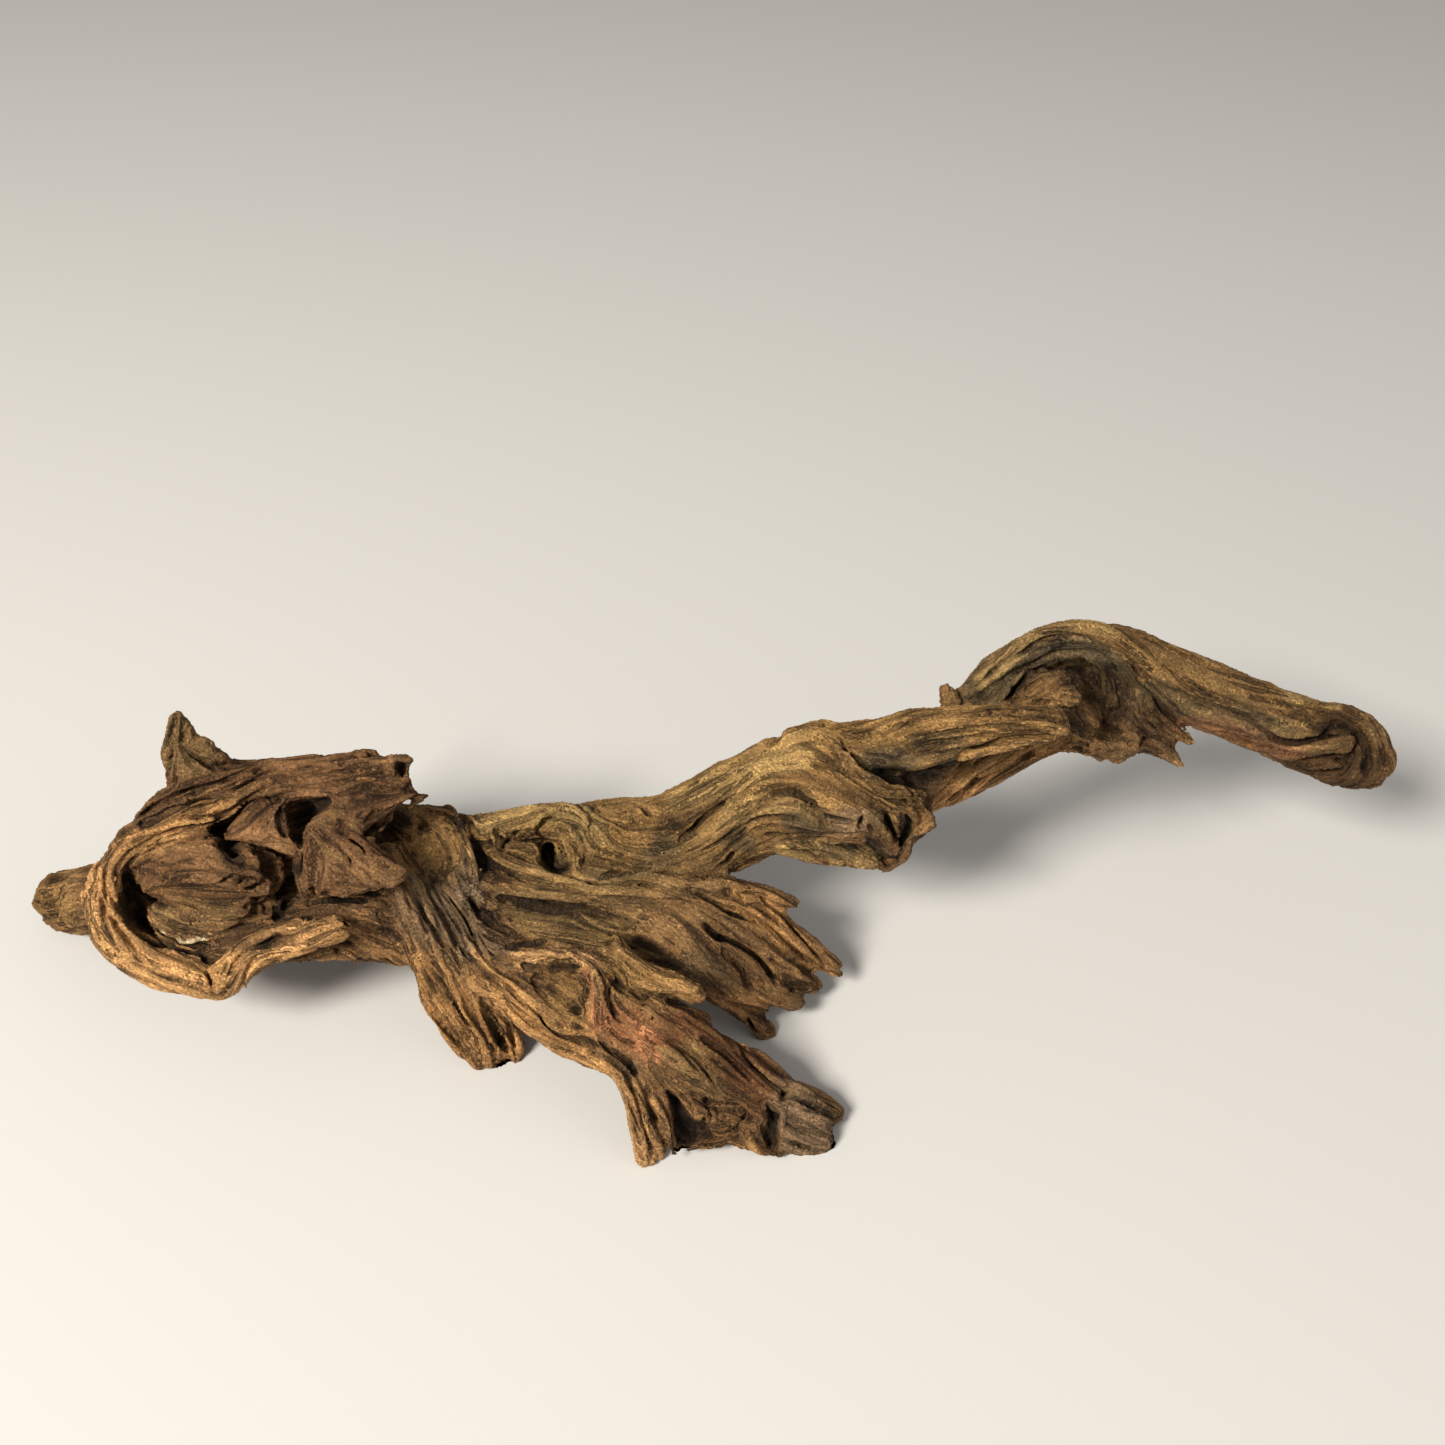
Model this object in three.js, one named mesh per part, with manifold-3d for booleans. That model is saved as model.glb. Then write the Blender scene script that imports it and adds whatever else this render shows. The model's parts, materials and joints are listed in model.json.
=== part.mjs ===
// A long gnarled piece of driftwood: a hollow burl with a horn and a side stub, a trunk that forks into a broken
// upper limb and a hooked limb, and roots that splay out in front and hold it up. Millimetres, +Z up, the wood's
// length along X, its face towards -Y, and the origin on the ground under the middle of its box.
import * as THREE from "three";
import { mergeVertices } from "three/addons/utils/BufferGeometryUtils.js";
import Module from "manifold-3d";

const wasm = await Module();
wasm.setup();

const LENGTH = 691; // end to end, from the stub's end to the tip of the hooked limb
const MIDDLE = [-24, -1, 0]; // the middle of the box's floor, where the stations below count from
const CUT = 0.35; // the gap that parts one piece from the next at a fork
const RING_STEP = 20; // the usual distance between a limb's rings
const NOSE = 0.45; // how far a limb's end bulges, as a share of its half width
const LUMP = 1.4; // the height of the slow lumps on every limb
const LUMP_FROM = 10; // a limb with a smaller half width has smaller lumps
const FACING = -42; // a turn that makes a flat limb face forwards and up
const SLIM = 7; // the spokes of a thin limb's ring

const BROWN = new THREE.MeshStandardMaterial({ color: 0x6b4630, roughness: 0.82, metalness: 0 });
const TAN = new THREE.MeshStandardMaterial({ color: 0x86683f, roughness: 0.85, metalness: 0 });

const UP = new THREE.Vector3(0, 0, 1);
const AWAY = new THREE.Vector3(0, 1, 0);

// Slow lumps that depend only on the place, so that limbs that meet share them.
function lump(p) {
  const long = Math.sin(0.071 * p.x + 0.9) * Math.cos(0.083 * p.y - 0.4) * Math.sin(0.077 * p.z + 0.5);
  const short = Math.sin(0.19 * p.x - 0.11 * p.z) * Math.cos(0.17 * p.y + 0.13 * p.z);
  return LUMP * (long + 0.6 * short);
}

// A closed solid from a geometry whose shared vertices are merged.
function solid(geometry) {
  geometry.deleteAttribute("normal");
  geometry.deleteAttribute("uv");
  const merged = mergeVertices(geometry, 1e-3);
  const vertProperties = merged.attributes.position.array;
  return new wasm.Manifold(new wasm.Mesh({ numProp: 3, vertProperties, triVerts: merged.index.array }));
}

// A limb of wood lofted over stations [x, y, z, across, tall, turn]: the middle line, the section's two half sizes
// and its turn in degrees about the line. Ridges run along it and wind round it by twist turns over its length. The
// limb is made when it is called, larger all round by the amount given.
const limb = (stations, { around = 10, step = RING_STEP, up = UP, ridges = 0, relief = 0.1, twist = 0.15 } = {}) => {
  const line = new THREE.CatmullRomCurve3(stations.map(([x, y, z]) => new THREE.Vector3(x, y, z)));
  const sizes = new THREE.CatmullRomCurve3(
    stations.map(([, , , across, tall = across, turn = 0]) => new THREE.Vector3(across, tall, turn)),
    false,
    "catmullrom",
    0.3,
  );
  return (grow = 0) => {
    const rings = Math.max(2, Math.ceil(line.getLength() / step));
    const positions = [];
    const faces = [];
    const at = (ring, spoke) => ring * around + (spoke % around);
    for (let ring = 0; ring <= rings; ring++) {
      const t = ring / rings;
      const centre = line.getPoint(t);
      const tangent = line.getTangent(t);
      const size = sizes.getPoint(t);
      const side = new THREE.Vector3().crossVectors(up, tangent).normalize();
      side.applyAxisAngle(tangent, THREE.MathUtils.degToRad(size.z));
      const top = new THREE.Vector3().crossVectors(tangent, side);
      for (let spoke = 0; spoke < around; spoke++) {
        const angle = (2 * Math.PI * spoke) / around;
        const ridge = ridges ? relief * Math.cos(ridges * (angle + 2 * Math.PI * twist * t)) : 0;
        const out = new THREE.Vector3()
          .addScaledVector(side, (size.x + grow) * Math.cos(angle))
          .addScaledVector(top, (size.y + grow) * Math.sin(angle))
          .multiplyScalar(1 + ridge);
        const p = centre.clone().add(out);
        p.addScaledVector(out.normalize(), lump(p) * Math.min(1, Math.min(size.x, size.y) / LUMP_FROM));
        positions.push(p.x, p.y, p.z);
      }
    }
    for (let ring = 0; ring < rings; ring++) {
      for (let spoke = 0; spoke < around; spoke++) {
        faces.push(at(ring, spoke), at(ring, spoke + 1), at(ring + 1, spoke + 1));
        faces.push(at(ring, spoke), at(ring + 1, spoke + 1), at(ring + 1, spoke));
      }
    }
    for (const [t, way] of [[0, -1], [1, 1]]) {
      const size = sizes.getPoint(t);
      const bulge = NOSE * Math.min(size.x, size.y) + grow;
      const nose = line.getPoint(t).addScaledVector(line.getTangent(t), way * bulge);
      const tip = positions.length / 3;
      positions.push(nose.x, nose.y, nose.z);
      for (let spoke = 0; spoke < around; spoke++) {
        const [from, to] = way > 0 ? [spoke, spoke + 1] : [spoke + 1, spoke];
        faces.push(tip, at(t * rings, from), at(t * rings, to));
      }
    }
    const geometry = new THREE.BufferGeometry();
    geometry.setAttribute("position", new THREE.Float32BufferAttribute(positions, 3));
    geometry.setIndex(faces);
    return solid(geometry);
  };
};

const joined = (limbs, grow = 0) => limbs.map((make) => make(grow)).reduce((all, one) => all.add(one));

// The burl: a thick core, a rim rolled round a hollow face with a brow, a snout, a lobe and a lip, a horn on top, a
// stub at the side and a flared ear where the trunk leaves it.
function burl() {
  const core = limb(
    [
      [-311, 34, 63, 10, 10],
      [-291, 40, 59, 20, 20],
      [-260, 42, 57, 28, 31],
      [-223, 40, 58, 31, 34],
      [-182, 34, 62, 31, 32],
      [-151, 26, 63, 26, 28],
      [-122, 20, 63, 18, 20],
    ],
    { around: 16, ridges: 5, relief: 0.05, twist: 0.3 },
  );
  const back = limb([
    [-168, 40, 96, 12, 20],
    [-198, 44, 97, 14, 24],
    [-242, 44, 94, 14, 22],
    [-272, 36, 82, 14, 20],
    [-291, 24, 74, 10, 14],
  ]);
  const rim = limb(
    [
      [-200, 36, 121, 12, 12],
      [-225, 34, 122, 12, 12],
      [-244, 30, 121, 13, 13],
      [-262, 24, 111, 13, 13],
      [-277, 16, 101, 12, 12],
      [-290, 8, 90, 11, 10],
      [-298, 2, 78, 10, 10],
      [-297, -5, 64, 10, 9],
      [-287, -11, 56, 11, 9],
      [-271, -16, 50, 11, 10],
      [-251, -20, 50, 11, 10],
      [-238, -24, 51, 10, 8],
    ],
    { ridges: 4, relief: 0.12, twist: 0.6 },
  );
  const lip = limb(
    [
      [-244, -24, 47, 9],
      [-230, -23, 62, 9],
      [-214, -22, 73, 9],
      [-198, -19, 77, 8],
      [-181, -17, 81, 6],
    ],
    { around: SLIM, ridges: 3, relief: 0.12, twist: 0.4 },
  );
  const lowerLip = limb(
    [
      [-216, -10, 60, 7],
      [-193, -10, 60, 8],
      [-175, -9, 57, 8],
      [-160, -9, 53, 7],
    ],
    { around: SLIM },
  );
  const floor = limb([
    [-288, 8, 62, 8],
    [-261, 0, 57, 14],
    [-233, 0, 58, 16],
    [-199, 0, 64, 14],
    [-168, 2, 69, 12],
  ]);
  const brow = limb([
    [-224, 34, 121, 12, 12, FACING],
    [-202, 32, 122, 12, 16, FACING],
    [-182, 28, 121, 11, 18, FACING],
    [-163, 24, 124, 9, 17, FACING],
    [-152, 23, 130, 5, 10, FACING],
  ]);
  const browHighTip = limb(
    [
      [-164, 27, 134, 7],
      [-154, 30, 139, 5],
      [-150, 30, 142, 2],
    ],
    { around: SLIM },
  );
  const browLowTip = limb(
    [
      [-168, 20, 124, 8, 11],
      [-152, 20, 126, 5, 7],
      [-143, 20, 127, 2, 2],
    ],
    { around: SLIM },
  );
  const snout = limb([
    [-201, 8, 101, 12, 19, FACING],
    [-184, 2, 105, 12, 19, FACING],
    [-169, -5, 108, 9, 12, FACING],
    [-157, -9, 109, 5, 6, FACING],
    [-150, -11, 109, 2, 2, FACING],
  ]);
  const snoutEdge = limb(
    [
      [-184, 14, 123, 7, 6],
      [-190, 3, 111, 9, 8],
      [-197, -4, 95, 9, 7],
    ],
    { around: SLIM },
  );
  const lobe = limb([
    [-279, 14, 90, 7, 6],
    [-267, 11, 92, 11, 12],
    [-249, 8, 94, 12, 16],
    [-231, 7, 93, 12, 16],
    [-216, 6, 88, 10, 9],
  ]);
  const horn = limb(
    [
      [-246, 32, 118, 18, 15],
      [-249, 33, 132, 15, 12],
      [-252, 34, 145, 9, 8],
      [-253, 35, 154, 6, 5],
      [-252, 36, 163, 3, 3],
    ],
    { around: SLIM, up: AWAY },
  );
  const stub = limb(
    [
      [-290, 46, 30, 18],
      [-327, 54, 17, 19],
      [-350, 57, 15, 18],
      [-361, 57, 13, 12],
    ],
    { ridges: 3, relief: 0.07 },
  );
  const ear = limb(
    [
      [-166, 38, 94, 8, 6],
      [-153, 37, 96, 10, 6],
      [-140, 35, 95, 12, 7],
      [-134, 29, 88, 13, 7],
      [-132, 22, 78, 12, 7],
      [-136, 13, 63, 9, 6],
    ],
    { around: SLIM },
  );
  const neck = limb(
    [
      [-166, 18, 91, 14, 14],
      [-155, 9, 72, 15, 16],
      [-144, 1, 50, 14, 16],
      [-136, -5, 38, 11, 12],
    ],
    { around: SLIM },
  );
  const furrows = [
    [
      [-162, -1, 101, 5],
      [-150, -9, 80, 5],
      [-138, -17, 56, 5],
    ],
    [
      [-147, 5, 104, 5],
      [-137, -5, 86, 5],
      [-126, -13, 61, 5],
    ],
  ].map((stations) => limb(stations, { around: SLIM }));
  const face = [rim, lip, lowerLip, floor, brow, browHighTip, browLowTip, snout, snoutEdge, lobe];
  return [core, back, ...face, horn, stub, ear, neck, ...furrows];
}

// The trunk, from the burl to its knuckled break.
function trunk() {
  const stem = limb(
    [
      [-138, 24, 84, 15, 15],
      [-116, 31, 85, 15, 15],
      [-93, 37, 82, 17, 18],
      [-67, 43, 74, 19, 20],
      [-43, 46, 71, 21, 22],
      [-19, 47, 79, 23, 25],
      [5, 45, 97, 23, 26],
      [29, 41, 111, 24, 27],
      [49, 37, 110, 21, 24],
      [66, 35, 103, 17, 18],
      [79, 34, 98, 9, 10],
    ],
    { around: 16, ridges: 5, relief: 0.05, twist: 0.35 },
  );
  const upperKnuckle = limb([
    [43, 30, 138, 8, 9],
    [59, 27, 136, 9, 11],
    [73, 25, 123, 9, 11],
    [84, 27, 110, 6, 7],
  ]);
  const lowerKnuckle = limb(
    [
      [20, 32, 90, 11],
      [41, 28, 85, 9],
      [58, 26, 82, 7],
      [67, 26, 79, 4],
    ],
    { around: SLIM },
  );
  const crown = limb(
    [
      [20, 50, 132, 7, 6],
      [35, 50, 138, 8, 6],
      [50, 50, 136, 6, 5],
    ],
    { around: SLIM },
  );
  return [stem, upperKnuckle, lowerKnuckle, crown];
}

// The broken upper limb, a split plank with a torn lower edge.
function brokenLimb() {
  const plank = limb(
    [
      [30, 47, 128, 9, 11, FACING],
      [61, 39, 142, 8, 14, FACING],
      [83, 34, 151, 8, 14, FACING],
      [106, 31, 157, 7, 12, FACING],
      [128, 30, 161, 6, 9, FACING],
      [141, 30, 164, 5, 7, FACING],
    ],
    { ridges: 4, relief: 0.08 },
  );
  const tear = limb(
    [
      [56, 41, 130, 5, 7],
      [85, 38, 134, 4, 6],
      [109, 35, 142, 3, 4],
    ],
    { around: SLIM },
  );
  return [plank, tear];
}

// The hooked limb: a branch that runs back and up, an arch with a torn web under it, a stump and splinters.
function hookedLimb() {
  const branch = limb(
    [
      [62, 53, 88, 12, 13],
      [96, 61, 98, 13, 15],
      [116, 63, 109, 12, 13],
      [137, 66, 120, 10, 11],
      [160, 68, 127, 8, 9],
    ],
    { ridges: 4, relief: 0.08 },
  );
  const arch = limb(
    [
      [92, 70, 122, 7, 7],
      [108, 74, 141, 8, 8],
      [122, 76, 156, 9, 9],
      [137, 77, 167, 9, 9],
      [154, 77, 172, 9, 9],
      [171, 77, 167, 10, 10],
      [189, 77, 157, 11, 12],
      [210, 76, 144, 14, 15],
      [236, 75, 132, 15, 16],
      [263, 74, 121, 15, 17],
      [287, 73, 110, 16, 19],
      [303, 72, 101, 14, 17],
      [314, 72, 96, 9, 11],
    ],
    { around: 14, ridges: 5, relief: 0.06, twist: 0.4 },
  );
  const web = limb([
    [118, 78, 129, 6, 16, FACING / 2],
    [142, 78, 137, 7, 28, FACING / 2],
    [163, 78, 137, 7, 31, FACING / 2],
    [185, 77, 133, 7, 26, FACING / 2],
    [208, 75, 127, 7, 14, FACING / 2],
  ]);
  const stump = limb(
    [
      [114, 71, 132, 8, 7],
      [133, 64, 147, 8, 7],
      [143, 59, 157, 7, 7],
      [150, 55, 163, 5, 5],
    ],
    { around: SLIM },
  );
  const splinters = [
    [
      [180, 71, 132, 6, 12],
      [198, 68, 116, 4, 6],
      [213, 66, 103, 2, 2],
    ],
    [
      [190, 73, 131, 6, 9],
      [207, 71, 120, 4, 5],
      [217, 70, 115, 2, 2],
    ],
    [
      [156, 71, 130, 8, 11],
      [171, 68, 115, 6, 6],
      [174, 68, 106, 3, 3],
    ],
    [
      [98, 69, 134, 5, 5],
      [94, 68, 143, 3, 3],
      [93, 68, 151, 2, 2],
    ],
  ].map((stations) => limb(stations, { around: SLIM, up: AWAY }));
  return [branch, arch, web, stump, ...splinters];
}

// The middle root, a broad hand whose fingers end in splinters.
function middleRoot() {
  const palm = limb(
    [
      [-148, 14, 74, 13, 16, FACING / 2],
      [-124, 12, 73, 12, 16, FACING / 2],
      [-100, 10, 71, 11, 17, FACING / 2],
      [-72, 7, 69, 11, 18, FACING],
      [-44, 1, 65, 11, 23, FACING],
      [-21, -1, 60, 10, 25, FACING],
      [-1, -1, 56, 8, 21, FACING],
      [14, 2, 46, 6, 16, FACING],
      [26, 4, 36, 4, 9, FACING],
    ],
    { around: 14, ridges: 6, relief: 0.06, twist: 0.1 },
  );
  const fingers = [
    [
      [-30, 14, 74, 8],
      [1, 16, 69, 6],
      [27, 18, 58, 3],
    ],
    [
      [-24, 8, 68, 9],
      [10, 9, 54, 8],
      [30, 11, 34, 7],
      [48, 13, 14, 4],
    ],
    [
      [-24, 0, 62, 9],
      [8, 0, 40, 8],
      [25, 2, 22, 7],
      [38, 3, 10, 4],
    ],
    [
      [-28, -6, 60, 9],
      [-4, -8, 43, 8],
      [18, -8, 21, 7],
      [28, -8, 12, 4],
    ],
    [
      [-36, -10, 56, 9],
      [-11, -15, 34, 8],
      [8, -16, 8, 6],
      [13, -16, -6, 5],
    ],
  ].map((stations) => limb(stations, { around: SLIM, ridges: 3, relief: 0.12 }));
  return [palm, ...fingers];
}

// The front root, a worn fist with a ledge, a bone-like stub, a leg, a bar and a blunt lobe round a hollow.
function frontRoot() {
  const palm = limb(
    [
      [-142, -4, 55, 13, 15],
      [-114, -19, 50, 13, 16, FACING / 2],
      [-89, -33, 48, 13, 19, FACING],
      [-61, -46, 45, 13, 21, FACING],
      [-36, -55, 39, 13, 19, FACING],
      [-13, -62, 30, 12, 14, FACING],
    ],
    { around: 14, ridges: 4, relief: 0.07, twist: 0.2 },
  );
  const leftEdge = limb(
    [
      [-125, -25, 56, 6],
      [-103, -36, 47, 7],
      [-79, -50, 41, 7],
      [-56, -62, 38, 8],
    ],
    { around: SLIM },
  );
  const ledge = limb(
    [
      [-128, -12, 60, 11],
      [-99, -14, 64, 10],
      [-73, -18, 66, 9],
      [-57, -24, 76, 6],
    ],
    { around: SLIM },
  );
  const column = limb(
    [
      [-62, -22, 74, 8],
      [-67, -34, 62, 9],
      [-60, -48, 52, 9],
    ],
    { around: SLIM },
  );
  const bone = limb(
    [
      [-66, -20, 70, 8],
      [-52, -28, 68, 7],
      [-40, -34, 66, 6],
      [-29, -40, 67, 6],
      [-21, -43, 65, 5],
    ],
    { around: SLIM },
  );
  const cheek = limb([
    [-70, -22, 54, 12],
    [-43, -34, 45, 13],
    [-20, -44, 38, 10],
  ]);
  const leg = limb(
    [
      [-62, -56, 50, 11, 10],
      [-53, -69, 33, 11, 9],
      [-46, -78, 15, 10, 9],
      [-41, -84, -6, 9, 7],
    ],
    { ridges: 4, relief: 0.1 },
  );
  const side = limb(
    [
      [-47, -48, 52, 13, 13],
      [-27, -54, 45, 14, 14],
      [-9, -60, 31, 14, 14],
      [9, -66, 18, 13, 13],
      [28, -72, 8, 12, 13],
      [38, -76, 1, 8, 8],
    ],
    { ridges: 4, relief: 0.1 },
  );
  const bar = limb(
    [
      [-42, -82, 16, 6],
      [-20, -82, 10, 6],
      [0, -80, 4, 6],
      [19, -79, 0, 7],
    ],
    { around: SLIM },
  );
  const hollowBack = limb([
    [-52, -60, 28, 14],
    [-18, -64, 13, 13],
    [8, -69, 5, 10],
  ]);
  return [palm, leftEdge, ledge, column, bone, cheek, leg, side, bar, hollowBack];
}

// The small root under the burl, a leg with deep furrows.
function smallRoot() {
  const leg = limb(
    [
      [-150, 6, 70, 18, 15],
      [-141, -7, 53, 17, 15],
      [-134, -17, 31, 15, 14],
      [-126, -25, 13, 12, 12],
      [-121, -29, -6, 11, 10],
    ],
    { around: 14, ridges: 4, relief: 0.12, twist: 0.05 },
  );
  return [leg];
}

// A root at the back that the trunk stands on.
function rearRoot() {
  const leg = limb(
    [
      [-88, 40, 62, 15, 14],
      [-68, 52, 38, 12, 11],
      [-54, 60, 14, 10, 9],
      [-50, 62, -6, 9, 8],
    ],
    { ridges: 3, relief: 0.1 },
  );
  return [leg];
}

// Rotted hollows and clefts, each a limb that is cut away.
function hollows() {
  const besideRim = limb(
    [
      [-281, -4, 95, 12, 5, FACING],
      [-279, -8, 84, 14, 5, FACING],
      [-272, -12, 75, 12, 4, FACING],
      [-259, -16, 64, 9, 3, FACING],
      [-245, -22, 58, 5, 2, FACING],
    ],
    { up: AWAY },
  );
  const eye = limb(
    [
      [-225, -12, 125, 5],
      [-237, 16, 95, 5],
    ],
    { around: SLIM },
  );
  const underBrow = limb(
    [
      [-191, -6, 142, 8],
      [-205, 27, 107, 8],
    ],
    { around: SLIM },
  );
  const besideSnout = limb(
    [
      [-198, -8, 127, 6],
      [-210, 20, 96, 6],
    ],
    { around: SLIM },
  );
  const underSnout = limb(
    [
      [-193, -16, 95, 9, 2, FACING],
      [-176, -16, 97, 9, 3, FACING],
      [-152, -17, 107, 9, 2, FACING],
    ],
    { around: SLIM },
  );
  const bowl = limb([
    [-160, 4, 124, 9, 9],
    [-147, 2, 114, 10, 10],
    [-143, -2, 102, 9, 8],
  ]);
  const rotHole = limb(
    [
      [-88, 8, 103, 7],
      [-94, 38, 71, 6],
    ],
    { around: SLIM },
  );
  const rotGroove = limb(
    [
      [-111, 14, 117, 8, 3, FACING],
      [-103, 14, 102, 9, 4, FACING],
      [-86, 20, 81, 9, 5, FACING],
    ],
    { around: SLIM },
  );
  const underPlank = limb(
    [
      [54, 20, 145, 8, 3, FACING],
      [73, 28, 131, 11, 5, FACING],
      [97, 38, 128, 11, 4, FACING],
    ],
    { around: SLIM },
  );
  const fistHoles = [
    [
      [-22, -104, 68, 8],
      [-25, -70, 17, 7],
    ],
    [
      [-4, -104, 63, 8],
      [-4, -72, 14, 6],
    ],
  ].map((stations) => limb(stations, { around: SLIM }));
  const dish = limb(
    [
      [-76, -66, 98, 10],
      [-78, -41, 65, 9],
    ],
    { around: SLIM },
  );
  const behindBone = limb(
    [
      [-34, -34, 89, 8],
      [-36, -16, 68, 8],
    ],
    { around: SLIM },
  );
  const faceHollows = [besideRim, eye, underBrow, besideSnout, underSnout, bowl];
  return [...faceHollows, rotHole, rotGroove, underPlank, ...fistHoles, dish, behindBone];
}

function mesh(name, body, material) {
  const made = body.getMesh();
  const geometry = new THREE.BufferGeometry();
  geometry.setAttribute("position", new THREE.Float32BufferAttribute(made.vertProperties, 3));
  geometry.setIndex(new THREE.BufferAttribute(made.triVerts, 1));
  geometry.computeVertexNormals();
  const piece = new THREE.Mesh(geometry, material);
  piece.name = name;
  return piece;
}

const largest = (body) => body.decompose().sort((a, b) => b.volume() - a.volume())[0];

const ground = new THREE.BoxGeometry(2 * LENGTH, 2 * LENGTH, LENGTH).translate(0, 0, -LENGTH / 2);
const pieces = [
  ["burl", burl(), BROWN],
  ["trunk", trunk(), TAN],
  ["middle_root", middleRoot(), BROWN],
  ["front_root", frontRoot(), BROWN],
  ["broken_limb", brokenLimb(), TAN],
  ["hooked_limb", hookedLimb(), TAN],
  ["small_root", smallRoot(), BROWN],
  ["rear_root", rearRoot(), BROWN],
];

// Each piece gives way to the ground, to the hollows and to the pieces before it, with the cut's gap.
const driftwood = new THREE.Group();
driftwood.name = "driftwood";
let away = solid(ground).add(joined(hollows()));
for (const [name, limbs, material] of pieces) {
  driftwood.add(mesh(name, largest(joined(limbs).subtract(away)), material));
  away = away.add(joined(limbs, CUT));
}
driftwood.position.fromArray(MIDDLE).negate();
export default driftwood;
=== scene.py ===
"""Looks of the driftwood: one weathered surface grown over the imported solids, with folds, cracks and grain.

The solids give the form. Their distance field is closed and softened, ribs and clefts are drawn on it as
strokes, and it is meshed. Noise smeared along the grain then raises fine ribs, and the same grain drives the
wood's colour.

A stroke is drawn on a sheet: millimetres on a plane square to the view, SHEET_AT in front of the eye, with x
to the right and y down from the sheet's top left corner. It lies where the eye sees it on the wood. A third
number lifts a point of the wood towards the eye, in millimetres.
"""
import json
import math

import bpy
import numpy as np
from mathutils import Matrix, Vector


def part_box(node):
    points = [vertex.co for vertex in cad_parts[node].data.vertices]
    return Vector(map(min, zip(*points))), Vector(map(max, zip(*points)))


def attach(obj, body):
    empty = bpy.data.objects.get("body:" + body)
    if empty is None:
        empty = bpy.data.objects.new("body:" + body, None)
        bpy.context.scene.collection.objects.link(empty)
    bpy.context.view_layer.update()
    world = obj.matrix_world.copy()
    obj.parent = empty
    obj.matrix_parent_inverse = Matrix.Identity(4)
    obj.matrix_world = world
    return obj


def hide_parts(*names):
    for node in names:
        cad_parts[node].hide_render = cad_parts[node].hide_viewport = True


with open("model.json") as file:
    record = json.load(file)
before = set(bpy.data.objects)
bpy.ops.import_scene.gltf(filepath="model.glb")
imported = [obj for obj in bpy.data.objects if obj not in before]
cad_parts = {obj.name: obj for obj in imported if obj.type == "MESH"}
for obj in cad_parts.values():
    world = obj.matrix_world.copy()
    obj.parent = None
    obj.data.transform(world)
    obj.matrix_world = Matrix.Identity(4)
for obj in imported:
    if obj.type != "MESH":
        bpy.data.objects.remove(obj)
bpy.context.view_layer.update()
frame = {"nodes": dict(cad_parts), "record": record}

import openvdb
from mathutils import Vector
from mathutils.bvhtree import BVHTree

MM = 0.001

# The eye, in the part's frame
EYE = Vector((14.0, -450.9, 593.2)) * MM
EYE_PITCH = math.radians(41.76)  # looks along +Y and this much down
SENSOR = 36.0  # mm
LENS = 36.62  # mm
SHEET_AT = 1470.0 * MM
SHEET_HALF = 722.5  # mm from the sheet's corner to its middle, both ways
NEAR = 0.55  # m from the eye, where the wood starts
FAR = 0.95  # m from the eye, where it ends
TRIES = 41  # places that are tried along a ray that misses the wood
LEAP = 0.4 * MM  # the most that a stroke falls away from the eye from one point to the next
SLOPE = 1.6  # and how much more for each millimetre between them

# The surface
VOXEL = 0.88 * MM
BAND = 9  # voxels of distance kept on each side of the surface
MARGIN = 12  # voxels of air round the solids
FILLET = 3.0 * MM  # the radius that fills creases between limbs
SOFTEN = 1.7  # voxels
BLUR_REACH = 2.5  # how far a blur goes, in its own deviations
SHORT = 1.001  # keeps a place just under a table's last row
BLEND = 1.1 * MM  # how softly a stroke meets the wood
FINEST = 0.95 * VOXEL  # the least half width of a cleft
STEP = 2.0 * MM  # between the points of a stroke
SHEET_STEP = 0.5 * MM  # what a millimetre on the sheet is on the wood, about
EVENING = 5  # times that a stroke's points are averaged with their neighbours
OUTLINE_STEP = 3.0  # mm on the sheet, between the points of an outline
OUTLINE_EDGE = 14  # mm on the sheet, how far outside an outline its distances are known
EDGE = 9.0 * MM  # how far in front of a hollow the wood is cleared, and a block's margin
STROKE_TIP = 0.2  # a stroke's thickness at its very ends, as a share
INWARD = 0.3  # how far a cleft turns from the surface's way in to the eye's way
NARROWING = 0.35  # how much narrower a cleft's bottom is, as a share
CLEFT_BLEND = 0.9 * MM
HOLE_TIP = 0.7  # a hole's width at its end, as a share
HOLE_START = 2.0 * MM  # how far in front of the wood a hole starts
PIT_SOFT = 2.0 * MM  # how round a pit's bottom edge is
PAD_SOFT = 1.2 * MM  # how round a pad's upper edge is

# The grain
FLOW_CELL = 3.0 * MM
FLOW_SOFT = 4.0 * MM  # strokes nearer than this count alike
FLOW_REACH = 6.0 * MM  # how far from the surface the grain is known
FLOW_THIN = 2  # keep every second point of a line
FLOW_BATCH = 20000  # cells that are worked on at a time
FLOW_KEEP = 0.5  # how much of its last direction a trace keeps
FLOW_START = (1, 0.1, 0.1)  # what a trace's first direction agrees with
TRACE_STEP = 1.2 * MM
TRACE_STEPS = 30  # each way
TRACE_LEAST = 0.01  # a smaller weight is left out
LATTICE = 128  # random numbers each way, repeated
LATTICE_PITCH = 3.0  # random numbers to the size of a rib
LATTICE_SOFT = 0.36  # how far they are blurred, as a share of the pitch
LATTICE_REACH = 3  # and over how many neighbours each way
GRAIN_SIZES = (11.0 * MM, 5.0 * MM, 2.5 * MM, 1.3 * MM)
GRAIN_HEIGHTS = (0.8 * MM, 0.5 * MM, 0.5 * MM, 0.34 * MM)
GRAIN_LENGTHS = (1.0, 1.0, 1.0, 0.7)  # shares of the trace
DRAWN = (5.0 * MM, 18.0 * MM)  # the broadest grain fades where drawn strokes are this near
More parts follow.
